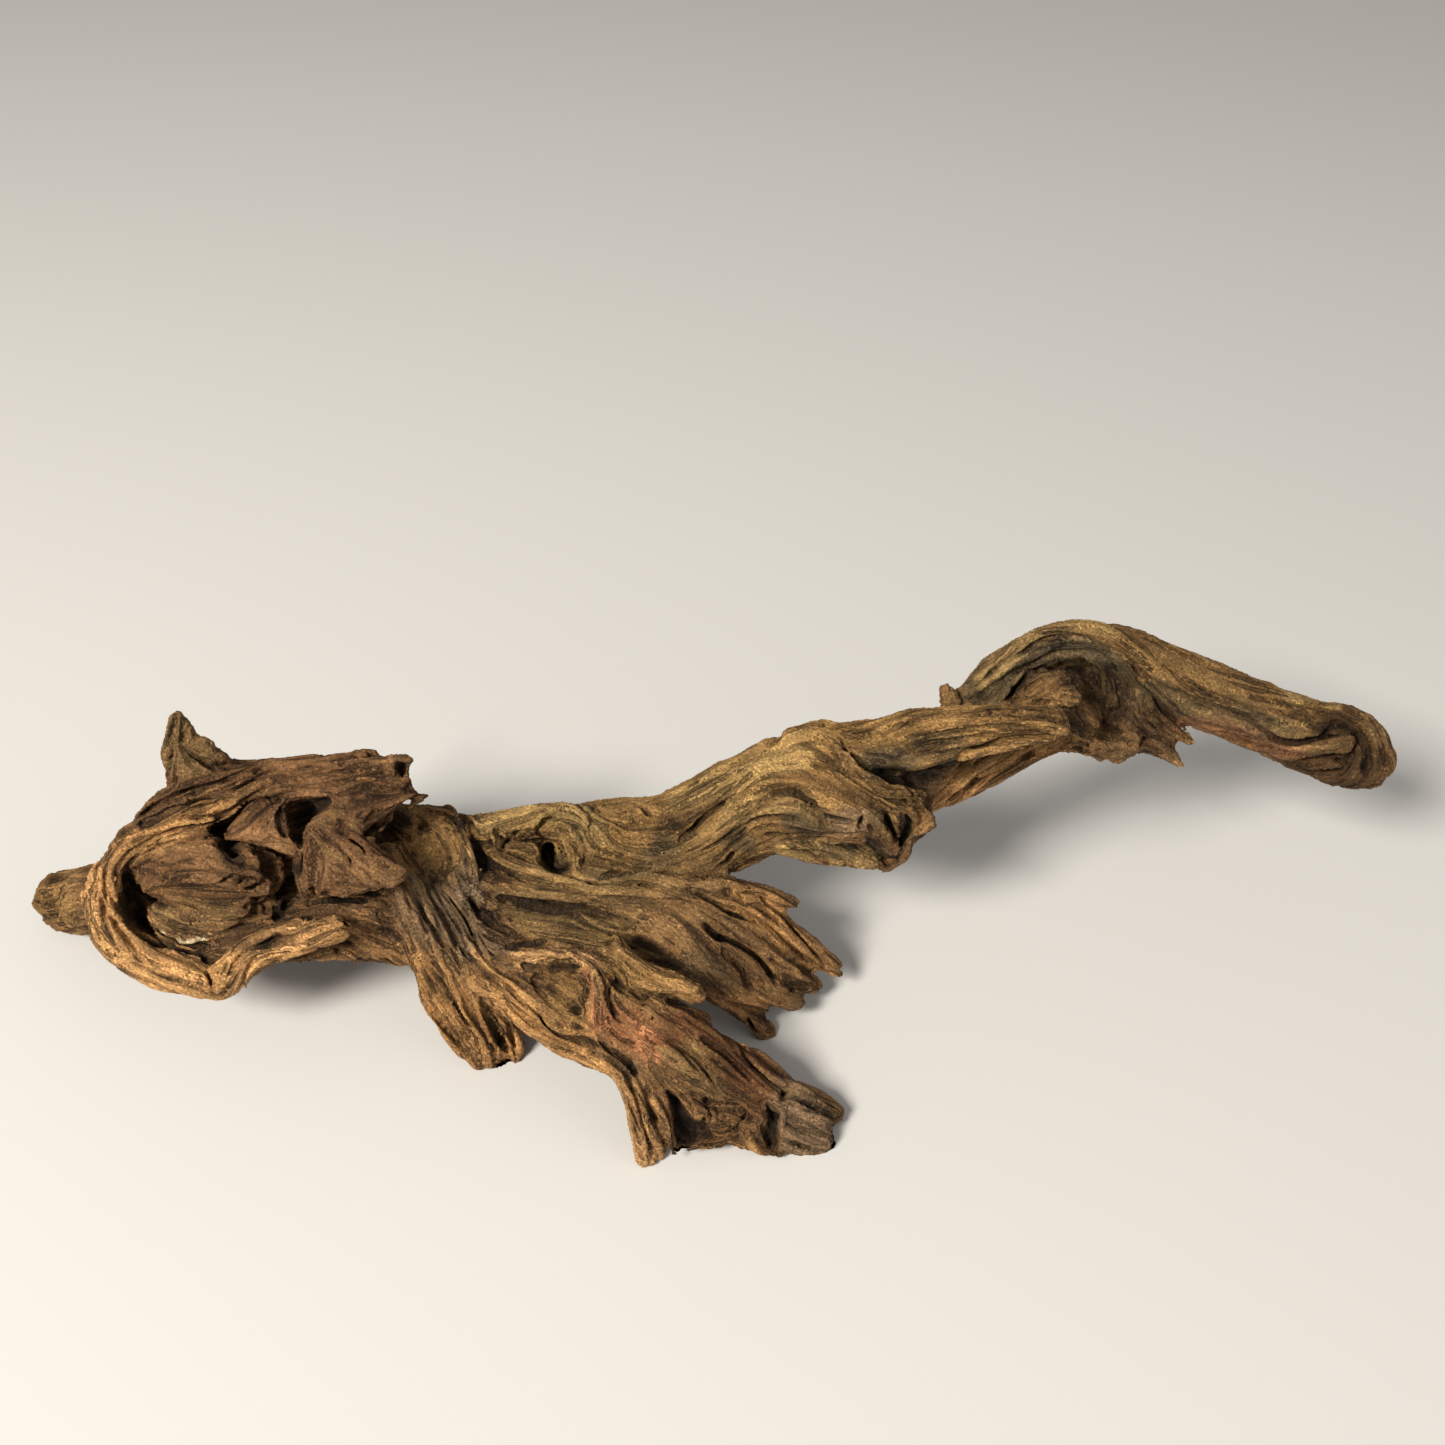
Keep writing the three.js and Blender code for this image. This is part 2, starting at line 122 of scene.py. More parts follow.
RIDGE = 0.6  # a raised fibre's height to its noise
FURROW = 1.1  # a furrow's depth to its noise
FURROW_POWER = 1.3  # what makes deep furrows deeper
WAVER = 0.16  # how strongly the grain drifts
WAVER_SIZES = (17.0 * MM, 6.0 * MM)  # of the slow drift and the quick one
WAVER_QUICK = 0.6  # the quick one's share
WAVER_TWISTS = (1.3, 1.1, 1.2)  # how much the slow drift bends, for each axis
WAVER_TILTS = (0.6, 0.7, 0.5)  # how much the quick drift leans, for each axis
SEED = 7

# Hollows, which painted shade makes darker than what stands out
THIN = 3  # keep every third voxel
HOLLOW = 5.0  # voxels that the surroundings are averaged over
# the furrows' depth adds to the painted shade of the hollows
HOLLOW_GRAIN = 0.07  # how much furrows count as hollows, for each millimetre of their depth

# The pieces
LABEL_CELL = 4.0 * MM
HEAD_PARTED = -205.0 * MM  # where the burl's surface is parted in two, which keeps each piece small


def eye_axes():
    """Right, up and forward of the eye."""
    forward = Vector((0, math.cos(EYE_PITCH), -math.sin(EYE_PITCH)))
    right = Vector((1, 0, 0))
    return right, right.cross(forward), forward


RIGHT, UPWARD, FORWARD = eye_axes()


def sheet_ray(x, y):
    """The direction from the eye through a point of the sheet."""
    across = (x - SHEET_HALF) * MM
    down = (y - SHEET_HALF) * MM
    return (FORWARD * SHEET_AT + RIGHT * across - UPWARD * down).normalized()


# Distance fields as dense arrays


def node_mesh(node):
    """A solid's vertices and triangles."""
    mesh = node.data
    mesh.calc_loop_triangles()
    points = np.zeros(len(mesh.vertices) * 3, np.float32)
    mesh.vertices.foreach_get("co", points)
    faces = np.zeros(len(mesh.loop_triangles) * 3, np.int32)
    mesh.loop_triangles.foreach_get("vertices", faces)
    return points.reshape(-1, 3), faces.reshape(-1, 3).astype(np.uint32)


class Field:
    """Signed distances on a regular grid over the whole wood, negative inside."""

    def __init__(self, voxel, low, shape):
        self.voxel = voxel
        self.low = low
        self.shape = shape
        self.transform = openvdb.createLinearTransform(voxelSize=voxel)
        self.values = None

    def grid_of(self, points, **faces):
        """The distances from a closed mesh."""
        return openvdb.FloatGrid.createLevelSetFromPolygons(
            points, transform=self.transform, halfWidth=BAND, **faces
        )

    def read(self, grid):
        """A grid's distances as a dense array."""
        values = np.full(self.shape, BAND * self.voxel, np.float32)
        grid.copyToArray(values, ijk=self.low)
        return values

    def surface(self):
        """Vertices and quads of the surface."""
        grid = openvdb.FloatGrid()
        grid.background = BAND * self.voxel
        grid.transform = self.transform
        grid.copyFromArray(np.ascontiguousarray(self.values), ijk=self.low)
        return grid.convertToQuads(isovalue=0)

    def sample(self, values, points, stride=1):
        """Values at points, by trilinear interpolation. The values may be every stride-th one."""
        at = (points / self.voxel - np.array(self.low)) / stride
        at = np.clip(at, 0, np.array(values.shape) - SHORT)
        base = at.astype(np.int32)
        part = (at - base).astype(np.float32)
        total = np.zeros(len(points), np.float32)
        for corner in np.ndindex(2, 2, 2):
            weight = np.prod(np.where(corner, part, 1 - part), axis=1)
            i, j, k = (base + corner).T
            total += weight * values[i, j, k]
        return total


def whole_field(voxel):
    """An empty field over all the solids."""
    corners = [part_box(name) for name in frame["nodes"]]
    low = np.min([c[0] for c in corners], axis=0)
    high = np.max([c[1] for c in corners], axis=0)
    first = tuple(int(v) for v in np.floor(low / voxel) - MARGIN)
    last = np.ceil(high / voxel) + MARGIN
    return Field(voxel, first, tuple(int(v) for v in last - np.array(first)))


def blur(values, sigma):
    """A Gaussian blur, one axis after another."""
    reach = int(math.ceil(BLUR_REACH * sigma))
    kernel = np.exp(-0.5 * (np.arange(-reach, reach + 1) / sigma) ** 2)
    kernel = (kernel / kernel.sum()).astype(np.float32)
    for axis in range(3):
        pads = [(reach, reach) if i == axis else (0, 0) for i in range(3)]
        padded = np.pad(values, pads, mode="edge")
        values = np.zeros_like(values)
        for shift, weight in enumerate(kernel):
            cut = [slice(None)] * 3
            cut[axis] = slice(shift, shift + values.shape[axis])
            values += weight * padded[tuple(cut)]
    return values


def body_field():
    """The solids as one body: closed over their joints and creases, then softened."""
    field = whole_field(VOXEL)
    points = []
    faces = []
    count = 0
    for name in sorted(frame["nodes"]):
        p, f = node_mesh(frame["nodes"][name])
        points.append(p)
        faces.append(f + count)
        count += len(p)
    grid = field.grid_of(np.concatenate(points), triangles=np.concatenate(faces))
    outer, quads = grid.convertToQuads(isovalue=FILLET)
    grown = field.grid_of(outer, quads=quads)
    field.values = blur(field.read(grown) + FILLET, SOFTEN)
    return field


# Strokes


def smooth_path(points, step):
    """A Catmull-Rom curve through points, sampled about every step, and each sample's share of the way."""
    points = np.asarray(points, float)
    padded = np.vstack([2 * points[0] - points[1], points, 2 * points[-1] - points[-2]])
    samples = []
    for i in range(len(points) - 1):
        a, b, c, d = padded[i : i + 4]
        count = max(1, int(round(np.linalg.norm(c - b) / step)))
        for t in np.arange(count) / count:
            even = 2 * b + (c - a) * t + (2 * a - 5 * b + 4 * c - d) * t**2
            samples.append(0.5 * (even + (3 * b - a - 3 * c + d) * t**3))
    samples.append(points[-1])
    samples = np.array(samples)
    run = np.concatenate([[0], np.cumsum(np.linalg.norm(np.diff(samples, axis=0), axis=1))])
    return samples, run / max(run[-1], 1e-9)


def even_out(rows):
    """Each row averaged with the ones beside it, except the first and last."""
    inner = 0.25 * rows[:-2] + 0.5 * rows[1:-1] + 0.25 * rows[2:]
    return np.concatenate([rows[:1], inner, rows[-1:]])


def bulge(width, height):
    """The radius of a round whose cap has that width and height, and how far its middle is above it."""
    if height >= 0.5 * width:
        return 0.5 * width, height - 0.5 * width
    radius = (0.25 * width**2 + height**2) / (2 * height)
    return radius, height - radius


def end_taper(shares, ends):
    """1 along most of a stroke, falling to STROKE_TIP at its ends over those shares of the way."""
    first, last = ends if isinstance(ends, tuple) else (ends, ends)
    sizes = np.ones(len(shares))
    if first > 0:
        sizes *= np.sin(0.5 * np.pi * np.clip(shares / first, 0, 1))
    if last > 0:
        sizes *= np.sin(0.5 * np.pi * np.clip((1 - shares) / last, 0, 1))
    return STROKE_TIP + (1 - STROKE_TIP) * sizes


def outline_gaps(curve):
    """The first corner, and each millimetre's distance from a closed curve on the sheet, negative inside."""
    low = np.floor(curve.min(axis=0)) - OUTLINE_EDGE
    high = np.ceil(curve.max(axis=0)) + OUTLINE_EDGE
    y, x = np.mgrid[low[1] : high[1] + 1, low[0] : high[0] + 1]
    squares = np.full(x.shape, np.inf)
    inside = np.zeros(x.shape, bool)
    for (ax, ay), (bx, by) in zip(curve[:-1], curve[1:]):
        dx, dy = bx - ax, by - ay
        share = np.clip(((x - ax) * dx + (y - ay) * dy) / max(dx * dx + dy * dy, 1e-9), 0, 1)
        squares = np.minimum(squares, (x - ax - share * dx) ** 2 + (y - ay - share * dy) ** 2)
        if ay != by:
            inside ^= ((ay > y) != (by > y)) & (x < ax + (y - ay) * dx / dy)
    gaps = np.sqrt(squares)
    gaps[inside] *= -1
    return low, gaps


def sample_flat(table, row, column):
    """Values of a table between its rows and columns."""
    row = np.clip(row, 0, table.shape[0] - SHORT)
    column = np.clip(column, 0, table.shape[1] - SHORT)
    i, j = row.astype(int), column.astype(int)
    a, b = row - i, column - j
    upper = table[i, j] * (1 - b) + table[i, j + 1] * b
    lower = table[i + 1, j] * (1 - b) + table[i + 1, j + 1] * b
    return upper * (1 - a) + lower * a


def smooth_max(a, b, soft):
    """The greater of two distances, rounded where they are alike."""
    return 0.5 * (a + b + np.sqrt((a - b) ** 2 + soft**2))


class Carver:
    """Draws strokes on a field. It remembers their lines, which the grain follows."""

    def __init__(self, field):
        self.field = field
        self.lines = []
        self.clefts = []
        self.refresh()

    def refresh(self):
        """Lets later strokes lie on the surface as it is now."""
        points, quads = self.field.surface()
        self.tree = BVHTree.FromPolygons(points.tolist(), quads.tolist())

    def hit(self, x, y):
        """Where the eye sees a point of the sheet on the wood, and the way out there. A point off the wood
        lies as deep as the wood nearest to its ray."""
        way = sheet_ray(x, y)
        place, normal, _, _ = self.tree.ray_cast(EYE, way)
        if place is not None:
            return np.array(place), np.array(normal)
        tries = [EYE + way * t for t in np.linspace(NEAR, FAR, TRIES)]
        found = [self.tree.find_nearest(t) for t in tries]
        best = min(range(TRIES), key=lambda i: found[i][3])
        return np.array(tries[best]), np.array(found[best][1])

    def cast(self, stroke):
        """A stroke's points in space, and the ways out there. It never leaps from a near limb to a far."""
        hits = [self.hit(p[0], p[1]) for p in stroke]
        ways = np.array([sheet_ray(p[0], p[1]) for p in stroke])
        depths = np.array([(place - np.array(EYE)) @ way for (place, _), way in zip(hits, ways)])
        gaps = [LEAP + SLOPE * depths.min() * math.dist(a, b) for a, b in zip(ways, ways[1:])]
        for i, gap in enumerate(gaps):
            depths[i + 1] = min(depths[i + 1], depths[i] + gap)
        for i in range(len(gaps) - 1, -1, -1):
            depths[i] = min(depths[i], depths[i + 1] + gaps[i])
        lifts = np.array([p[2] * MM if len(p) > 2 else 0 for p in stroke])
        return np.array(EYE) + ways * (depths - lifts)[:, None], np.array([normal for _, normal in hits])

    def trace(self, stroke, step=STEP, grain=True):
        """The stroke's samples on the wood, the ways out and the shares of the way."""
        drawn = [(p[0], p[1], p[2] if len(p) > 2 else 0) for p in stroke]
        curve, shares = smooth_path(drawn, step / SHEET_STEP)
        samples, outs = self.cast(curve)
        for _ in range(EVENING):
            samples = even_out(samples)
            outs = even_out(outs)
        outs /= np.maximum(np.linalg.norm(outs, axis=1), 1e-6)[:, None]
        if grain:
            self.lines.append(samples)
        return samples, outs, shares

    def part_of(self, low, high):
        """The part of the field between two corners, and its places along each axis."""
        field = self.field
        low = np.clip(np.floor(low / field.voxel).astype(int) - field.low, 0, np.array(field.shape) - 1)
        high = np.clip(np.ceil(high / field.voxel).astype(int) - field.low + 1, low + 1, field.shape)
        part = tuple(slice(first, last) for first, last in zip(low, high))
        places = []
        for axis in range(3):
            steps = np.arange(low[axis], high[axis]) + field.low[axis]
            shape = [-1 if i == axis else 1 for i in range(3)]
            places.append((steps * field.voxel).astype(np.float32).reshape(shape))
        return part, places

    def merge(self, a, b, ra, rb, cut, blend=BLEND):
        """Joins or cuts the round cone from a to b."""
        reach = max(ra, rb) + 2 * blend
        part, (x, y, z) = self.part_of(np.minimum(a, b) - reach, np.maximum(a, b) + reach)
        d = b - a
        share = ((x - a[0]) * d[0] + (y - a[1]) * d[1] + (z - a[2]) * d[2]) / max(d @ d, 1e-12)
        share = np.clip(share, 0, 1)
        far = (x - a[0] - share * d[0]) ** 2
        far = far + (y - a[1] - share * d[1]) ** 2
        far = far + (z - a[2] - share * d[2]) ** 2
        self.join(part, np.sqrt(far) - (ra + (rb - ra) * share), cut, blend)

    def join(self, part, shape, cut, blend):
        """Adds a shape's distances to part of the field, or cuts them from it."""
        old = self.field.values[part]
        sign = -1 if cut else 1
        gap = old * sign - shape
        share = np.clip(0.5 + 0.5 * gap / blend, 0, 1)
        self.field.values[part] = sign * (old * sign - gap * share - blend * share * (1 - share))

    def chain(self, centres, sizes, cut, blend):
        """Joins or cuts the round cones through centres of those half widths."""
        for i in range(len(centres) - 1):
            self.merge(centres[i], centres[i + 1], sizes[i], sizes[i + 1], cut, blend)

    def rib(self, stroke, width, height, ends=0.35, grain=True):
        """A rib or swelling of that width and height in millimetres along a stroke."""
        radius, middle = bulge(max(width * MM, 2 * FINEST), height * MM)
        samples, outs, shares = self.trace(stroke, np.clip(0.5 * radius, STEP, 2 * STEP), grain)
        tapers = end_taper(shares, ends)
        self.chain(samples + outs * (middle * tapers)[:, None], radius * tapers, False, BLEND)

    def dent(self, stroke, width, depth, ends=0.35, blend=BLEND, grain=True):
        """A round valley of that width and depth in millimetres along a stroke."""
        radius, middle = bulge(width * MM, depth * MM)
        samples, outs, shares = self.trace(stroke, np.clip(0.5 * radius, STEP, 2 * STEP), grain)
        tapers = end_taper(shares, ends)
        self.chain(samples - outs * (middle * tapers)[:, None], radius * tapers, True, blend)

    def cleft(self, stroke, width, depth, ends=0.3, grain=True):
        """A narrow cleft of that width and depth in millimetres along a stroke, straight into the wood. It
        is cut when its region is done."""
        self.clefts.append((stroke, width, depth, ends, grain))

    def cut(self, stroke, width, depth, ends, grain):
        """Cuts a cleft, in levels that grow narrower as they go down."""
        samples, outs, shares = self.trace(stroke, STEP, grain)
        tapers = end_taper(shares, ends)
        half = max(0.5 * width * MM, FINEST)
        ways = -outs * (1 - INWARD) + np.array(FORWARD) * INWARD
        ways /= np.linalg.norm(ways, axis=1)[:, None]
        tops = samples + outs * (half * (1 - tapers))[:, None]
        sizes = np.full(len(samples), half)
        deep = max(depth * MM - half, 0)
        levels = int(math.ceil(deep / half))
        for level in range(levels + 1):
            down = deep * level / max(levels, 1)
            lean = max(half * (1 - NARROWING * level / (levels + 1)), FINEST) / half
            self.chain(tops + ways * (down * tapers)[:, None], sizes * lean, True, CLEFT_BLEND)

    def cut_clefts(self):
        """Cuts the clefts that have been asked for."""
        self.refresh()
        for cleft in self.clefts:
            self.cut(*cleft)
        self.clefts = []

    def hole(self, x, y, width, depth):
        """A rotted hole of that width and depth in millimetres, going away from the eye."""
        place = self.cast([(x, y)])[0][0]
        start = place - np.array(FORWARD) * HOLE_START
        end = place + np.array(FORWARD) * depth * MM
        self.merge(start, end, 0.5 * width * MM, 0.5 * HOLE_TIP * width * MM, True)

    def block(self, outline, depth, cut, slope, dome, blend, soft, anchors):
        """Adds or cuts the block behind a closed outline on the sheet. Its face is the plane that fits the
        outline best, or the anchors if there are any. It goes that many millimetres away from the eye, and
        grows narrower or wider by the slope."""
        closed = [*outline, outline[0]]
        anchors = anchors or outline
        places, _ = self.cast([*anchors, anchors[0]])
        places = places[:-1]
        forward, right, upward = np.array(FORWARD), np.array(RIGHT), np.array(UPWARD)
        flat = np.array([[1, p[0], p[1]] for p in anchors])
        face = np.linalg.lstsq(flat, (places - np.array(EYE)) @ forward, rcond=None)[0]
        corner, gaps = outline_gaps(smooth_path([p[:2] for p in closed], OUTLINE_STEP)[0])
        depth = depth * MM
        rays = np.array([sheet_ray(p[0], p[1]) for p in outline])
        aways = np.array([face @ (1, p[0], p[1]) for p in outline]) / (rays @ forward)
        places = np.array(EYE) + rays * aways[:, None]
        ends = np.concatenate([places, places + forward * depth])
        part, (x, y, z) = self.part_of(ends.min(axis=0) - EDGE, ends.max(axis=0) + EDGE)
        x, y, z = x - EYE.x, y - EYE.y, z - EYE.z
        away = y * forward[1] + z * forward[2]
        across = SHEET_HALF + x * right[0] / away * SHEET_AT / MM
        down = SHEET_HALF - (y * upward[1] + z * upward[2]) / away * SHEET_AT / MM + 0 * x
        deep = away - (face[0] + face[1] * across + face[2] * down)
        gap = sample_flat(gaps, down - corner[1], across - corner[0]) * MM * away / SHEET_AT
        if cut:
            shape = smooth_max(gap + slope * np.maximum(deep, 0), deep - depth, soft)
            shape = np.maximum(shape, -deep - EDGE)
        else:
            inner = max(-gaps.min(), 1) * MM * away / SHEET_AT
            top = -deep - dome * MM * np.clip(-gap / inner, 0, 1)
            shape = smooth_max(gap - slope * np.maximum(deep, 0), top, soft)
            shape = np.maximum(shape, deep - depth)
        self.join(part, shape.astype(np.float32), cut, blend)

    def pit(self, outline, depth, slope=0.3, blend=BLEND, soft=PIT_SOFT, anchors=None):
        """A hollow with that outline and depth in millimetres."""
        self.block(outline, depth, True, slope, 0, blend, soft, anchors)

    def pad(self, outline, depth, dome=0.8, slope=0.3, blend=BLEND, soft=PAD_SOFT, anchors=None):
        """A raised facet with that outline, going that deep into the wood."""
        self.block(outline, depth, False, slope, dome, blend, soft, anchors)

    def backing(self, outline, behind, thick):
        """Wood behind an outline, so that a hollow there has a back wall."""
        self.pad([(p[0], p[1], -behind) for p in outline], thick, 0)

    def spike(self, stroke, width, tip=0.8):
        """A free strand through a stroke's points, from that width to its tip's, in millimetres."""
        samples, _, shares = self.trace(stroke)
        sizes = 0.5 * MM * (width + (tip - width) * shares)
        self.chain(samples, sizes, False, BLEND)


# The grain's main lines, as seen by the eye. The fibres follow them, and they leave no mark of their own.
GRAIN_LINES = [
    # rim, from the stub round under the face
    [(120, 880), (96, 900), (100, 930), (128, 956), (168, 974), (212, 982)],
    [(110, 864), (150, 824), (200, 790), (260, 774), (320, 768)],
    [(150, 840), (190, 804), (236, 784), (300, 780), (360, 772), (406, 760)],
    [(224, 980), (240, 964), (270, 946), (310, 936), (346, 926)],
    # stub
    [(40, 900), (68, 892), (96, 880)],
    # horn
    [(176, 720), (180, 744), (196, 772), (224, 782)],
    # lobe and floor
    [(144, 872), (180, 866), (220, 868), (270, 884)],
    [(144, 916), (190, 928), (240, 924), (300, 912), (360, 910)],
    # snout
    [(316, 824), (332, 850), (364, 864), (402, 874)],
    # ear
    [(410, 816), (436, 830), (452, 860), (464, 890)],
    # neck and small root
    [(392, 880), (424, 924), (456, 970), (480, 1010), (500, 1060)],
    [(420, 860), (452, 910), (480, 960)],
    # trunk
    [(464, 840), (520, 810), (590, 820), (660, 830), (720, 800), (770, 750), (820, 740), (880, 780)],
    [(600, 860), (660, 864), (710, 840), (760, 800), (820, 800), (880, 830)],
    [(790, 840), (830, 860), (880, 864)],
    # broken limb
    [(840, 744), (900, 736), (980, 728), (1060, 724)],
    # branch and arch
    [(910, 800), (960, 776), (1010, 750), (1060, 740)],
    [
        (948, 704), (984, 680), (1016, 650), (1050, 630), (1090, 628), (1124, 644), (1180, 680),
        (1240, 704), (1300, 724),
    ],
    [(1300, 724), (1340, 740), (1380, 756), (1388, 780)],
    [(1040, 700), (1080, 670), (1120, 676), (1150, 710), (1184, 756)],
    # middle root
    [(470, 880), (530, 892), (600, 900), (670, 910), (720, 930), (770, 960), (800, 984)],
    [(660, 896), (720, 900), (770, 910), (810, 940), (836, 972)],
    [(640, 940), (690, 964), (730, 1000), (764, 1024)],
    # front root
    [(470, 980), (520, 1010), (570, 1040), (600, 1080), (624, 1120), (650, 1164)],
    [(490, 940), (540, 950), (590, 960), (640, 1010), (700, 1060), (760, 1110), (810, 1140)],
    [(600, 952), (640, 970), (696, 990)],
]


def stub(c):
    """The side stub's inner end, which runs on under the head and into it."""
    centres = np.array([(-306, 50, 25), (-290, 46, 31), (-270, 43, 40), (-248, 40, 50)]) * MM
    c.chain(centres, np.array([17, 18, 20, 22]) * MM, False, 6 * MM)
    c.lines.append(centres)
    c.refresh()


def rim(c):
    """The rolled rim round the bowl at the left, and the lip that runs from its V to a splintered end."""
    c.rib([
        (98, 862), (90, 880), (95, 905), (108, 932), (130, 957), (158, 977), (185, 988), (208, 994),
    ], 5, 1.4)
    c.rib([
        (105, 860), (99, 876), (103, 895), (115, 915), (135, 935), (160, 955), (190, 970), (208, 978),
    ], 3.5, 1.4)
    c.rib([(112, 866), (113, 885), (120, 905), (135, 925), (155, 942), (180, 958), (203, 968)], 3, 1.8)
    c.cleft([(100, 860), (95, 876), (99, 895), (108, 915), (128, 938), (155, 960), (185, 975)], 1, 1.1)
    c.cleft([(106, 862), (106, 882), (113, 902), (127, 922), (148, 942), (172, 957), (200, 972)], 1, 1.2)
    c.dent([(122, 885), (124, 905), (133, 922), (150, 935), (175, 947)], 9, 5)
    c.cleft([(135, 925), (155, 937), (180, 950), (212, 957)], 1.2, 3)
    c.cleft([(150, 945), (175, 957), (203, 967), (211, 975)], 1, 2)
    c.rib([
        (222, 975), (228, 960), (240, 945), (262, 935), (285, 930), (305, 920), (320, 917), (338, 918),
    ], 5, 2.4)
    c.rib([
        (232, 985), (240, 968), (250, 955), (268, 952), (290, 948), (315, 938), (340, 930), (352, 925),
    ], 5, 2)
    c.rib([(245, 990), (252, 972), (262, 963), (285, 960), (310, 958), (330, 955), (342, 951)], 4, 1.5)
    c.cleft([(225, 985), (234, 963), (247, 948), (268, 944), (292, 940), (318, 930), (345, 924)], 1.2, 2)
    c.cleft([(205, 988), (215, 975), (222, 962), (232, 950), (248, 940), (270, 932)], 1.2, 2)
    c.cleft([(238, 990), (247, 968), (258, 958), (285, 954), (315, 948), (338, 942)], 1.2, 1.8)
    c.cleft([(213, 992), (209, 980), (203, 968)], 1.6, 3)
    c.dent([(200, 950), (225, 940), (255, 928), (290, 920), (330, 912)], 9, 2.4)
    c.spike([(330, 920), (341, 917), (348, 917)], 2.6)
    c.spike([(332, 926), (344, 925), (353, 925)], 2.4)
    c.spike([(330, 933), (343, 932), (351, 934)], 2.2)
    c.cleft([(345, 921), (350, 930), (349, 938)], 2, 5, grain=False)
    c.cleft([(318, 948), (332, 951), (344, 956), (352, 963)], 1.6, 5)
    c.rib([(336, 950), (350, 953), (356, 960), (352, 966)], 3, 3)
    c.rib([(360, 935), (380, 945), (398, 955), (405, 965)], 6, 2)
    c.cleft([(358, 943), (375, 949), (390, 958)], 1.2, 2)
    c.cleft([(375, 930), (392, 933), (404, 944)], 1.2, 2)


def bowl(c):
    """The hollow inside the rim: its dark left end, its floor and a pale sliver lying in it."""
    c.backing([(112, 872), (136, 864), (152, 884), (170, 894), (166, 934), (134, 928), (114, 902)], 12, 8)
    c.pit([
        (118, 873), (126, 868), (134, 870), (139, 882), (150, 891), (163, 896), (174, 900), (163, 903),
        (154, 907), (151, 914), (154, 924), (162, 934), (150, 934), (138, 928), (127, 918), (120, 905),
        (117, 888),
    ], 10, 0.3)
    c.pit([(119, 873), (126, 869), (133, 872), (136, 882), (124, 884)], 13, 0.3)
    c.pit([(153, 894), (164, 897), (160, 904), (154, 905)], 13, 0.2)
    c.cleft([(133, 868), (139, 882), (150, 892), (165, 899), (182, 903), (198, 908)], 2, 7)
    c.pad([
        (172, 899), (160, 905), (152, 914), (157, 927), (170, 936), (200, 938), (228, 930), (246, 914),
        (240, 901), (215, 903), (195, 902),
    ], 6, 1.8, 0.5, anchors=[(160, 880, -4), (240, 895, -3), (150, 945, -3), (230, 945, 0)])
    c.cleft([(152, 926), (160, 934), (172, 941), (188, 946), (208, 946)], 1.5, 4)
    c.cleft([(160, 942), (180, 951), (204, 958), (214, 964)], 1.3, 3)
    c.cleft([(208, 962), (214, 961), (218, 958)], 1.4, 3, grain=False)
    c.rib([(163, 933), (172, 939), (185, 942), (204, 939)], 1.6, 1.4)


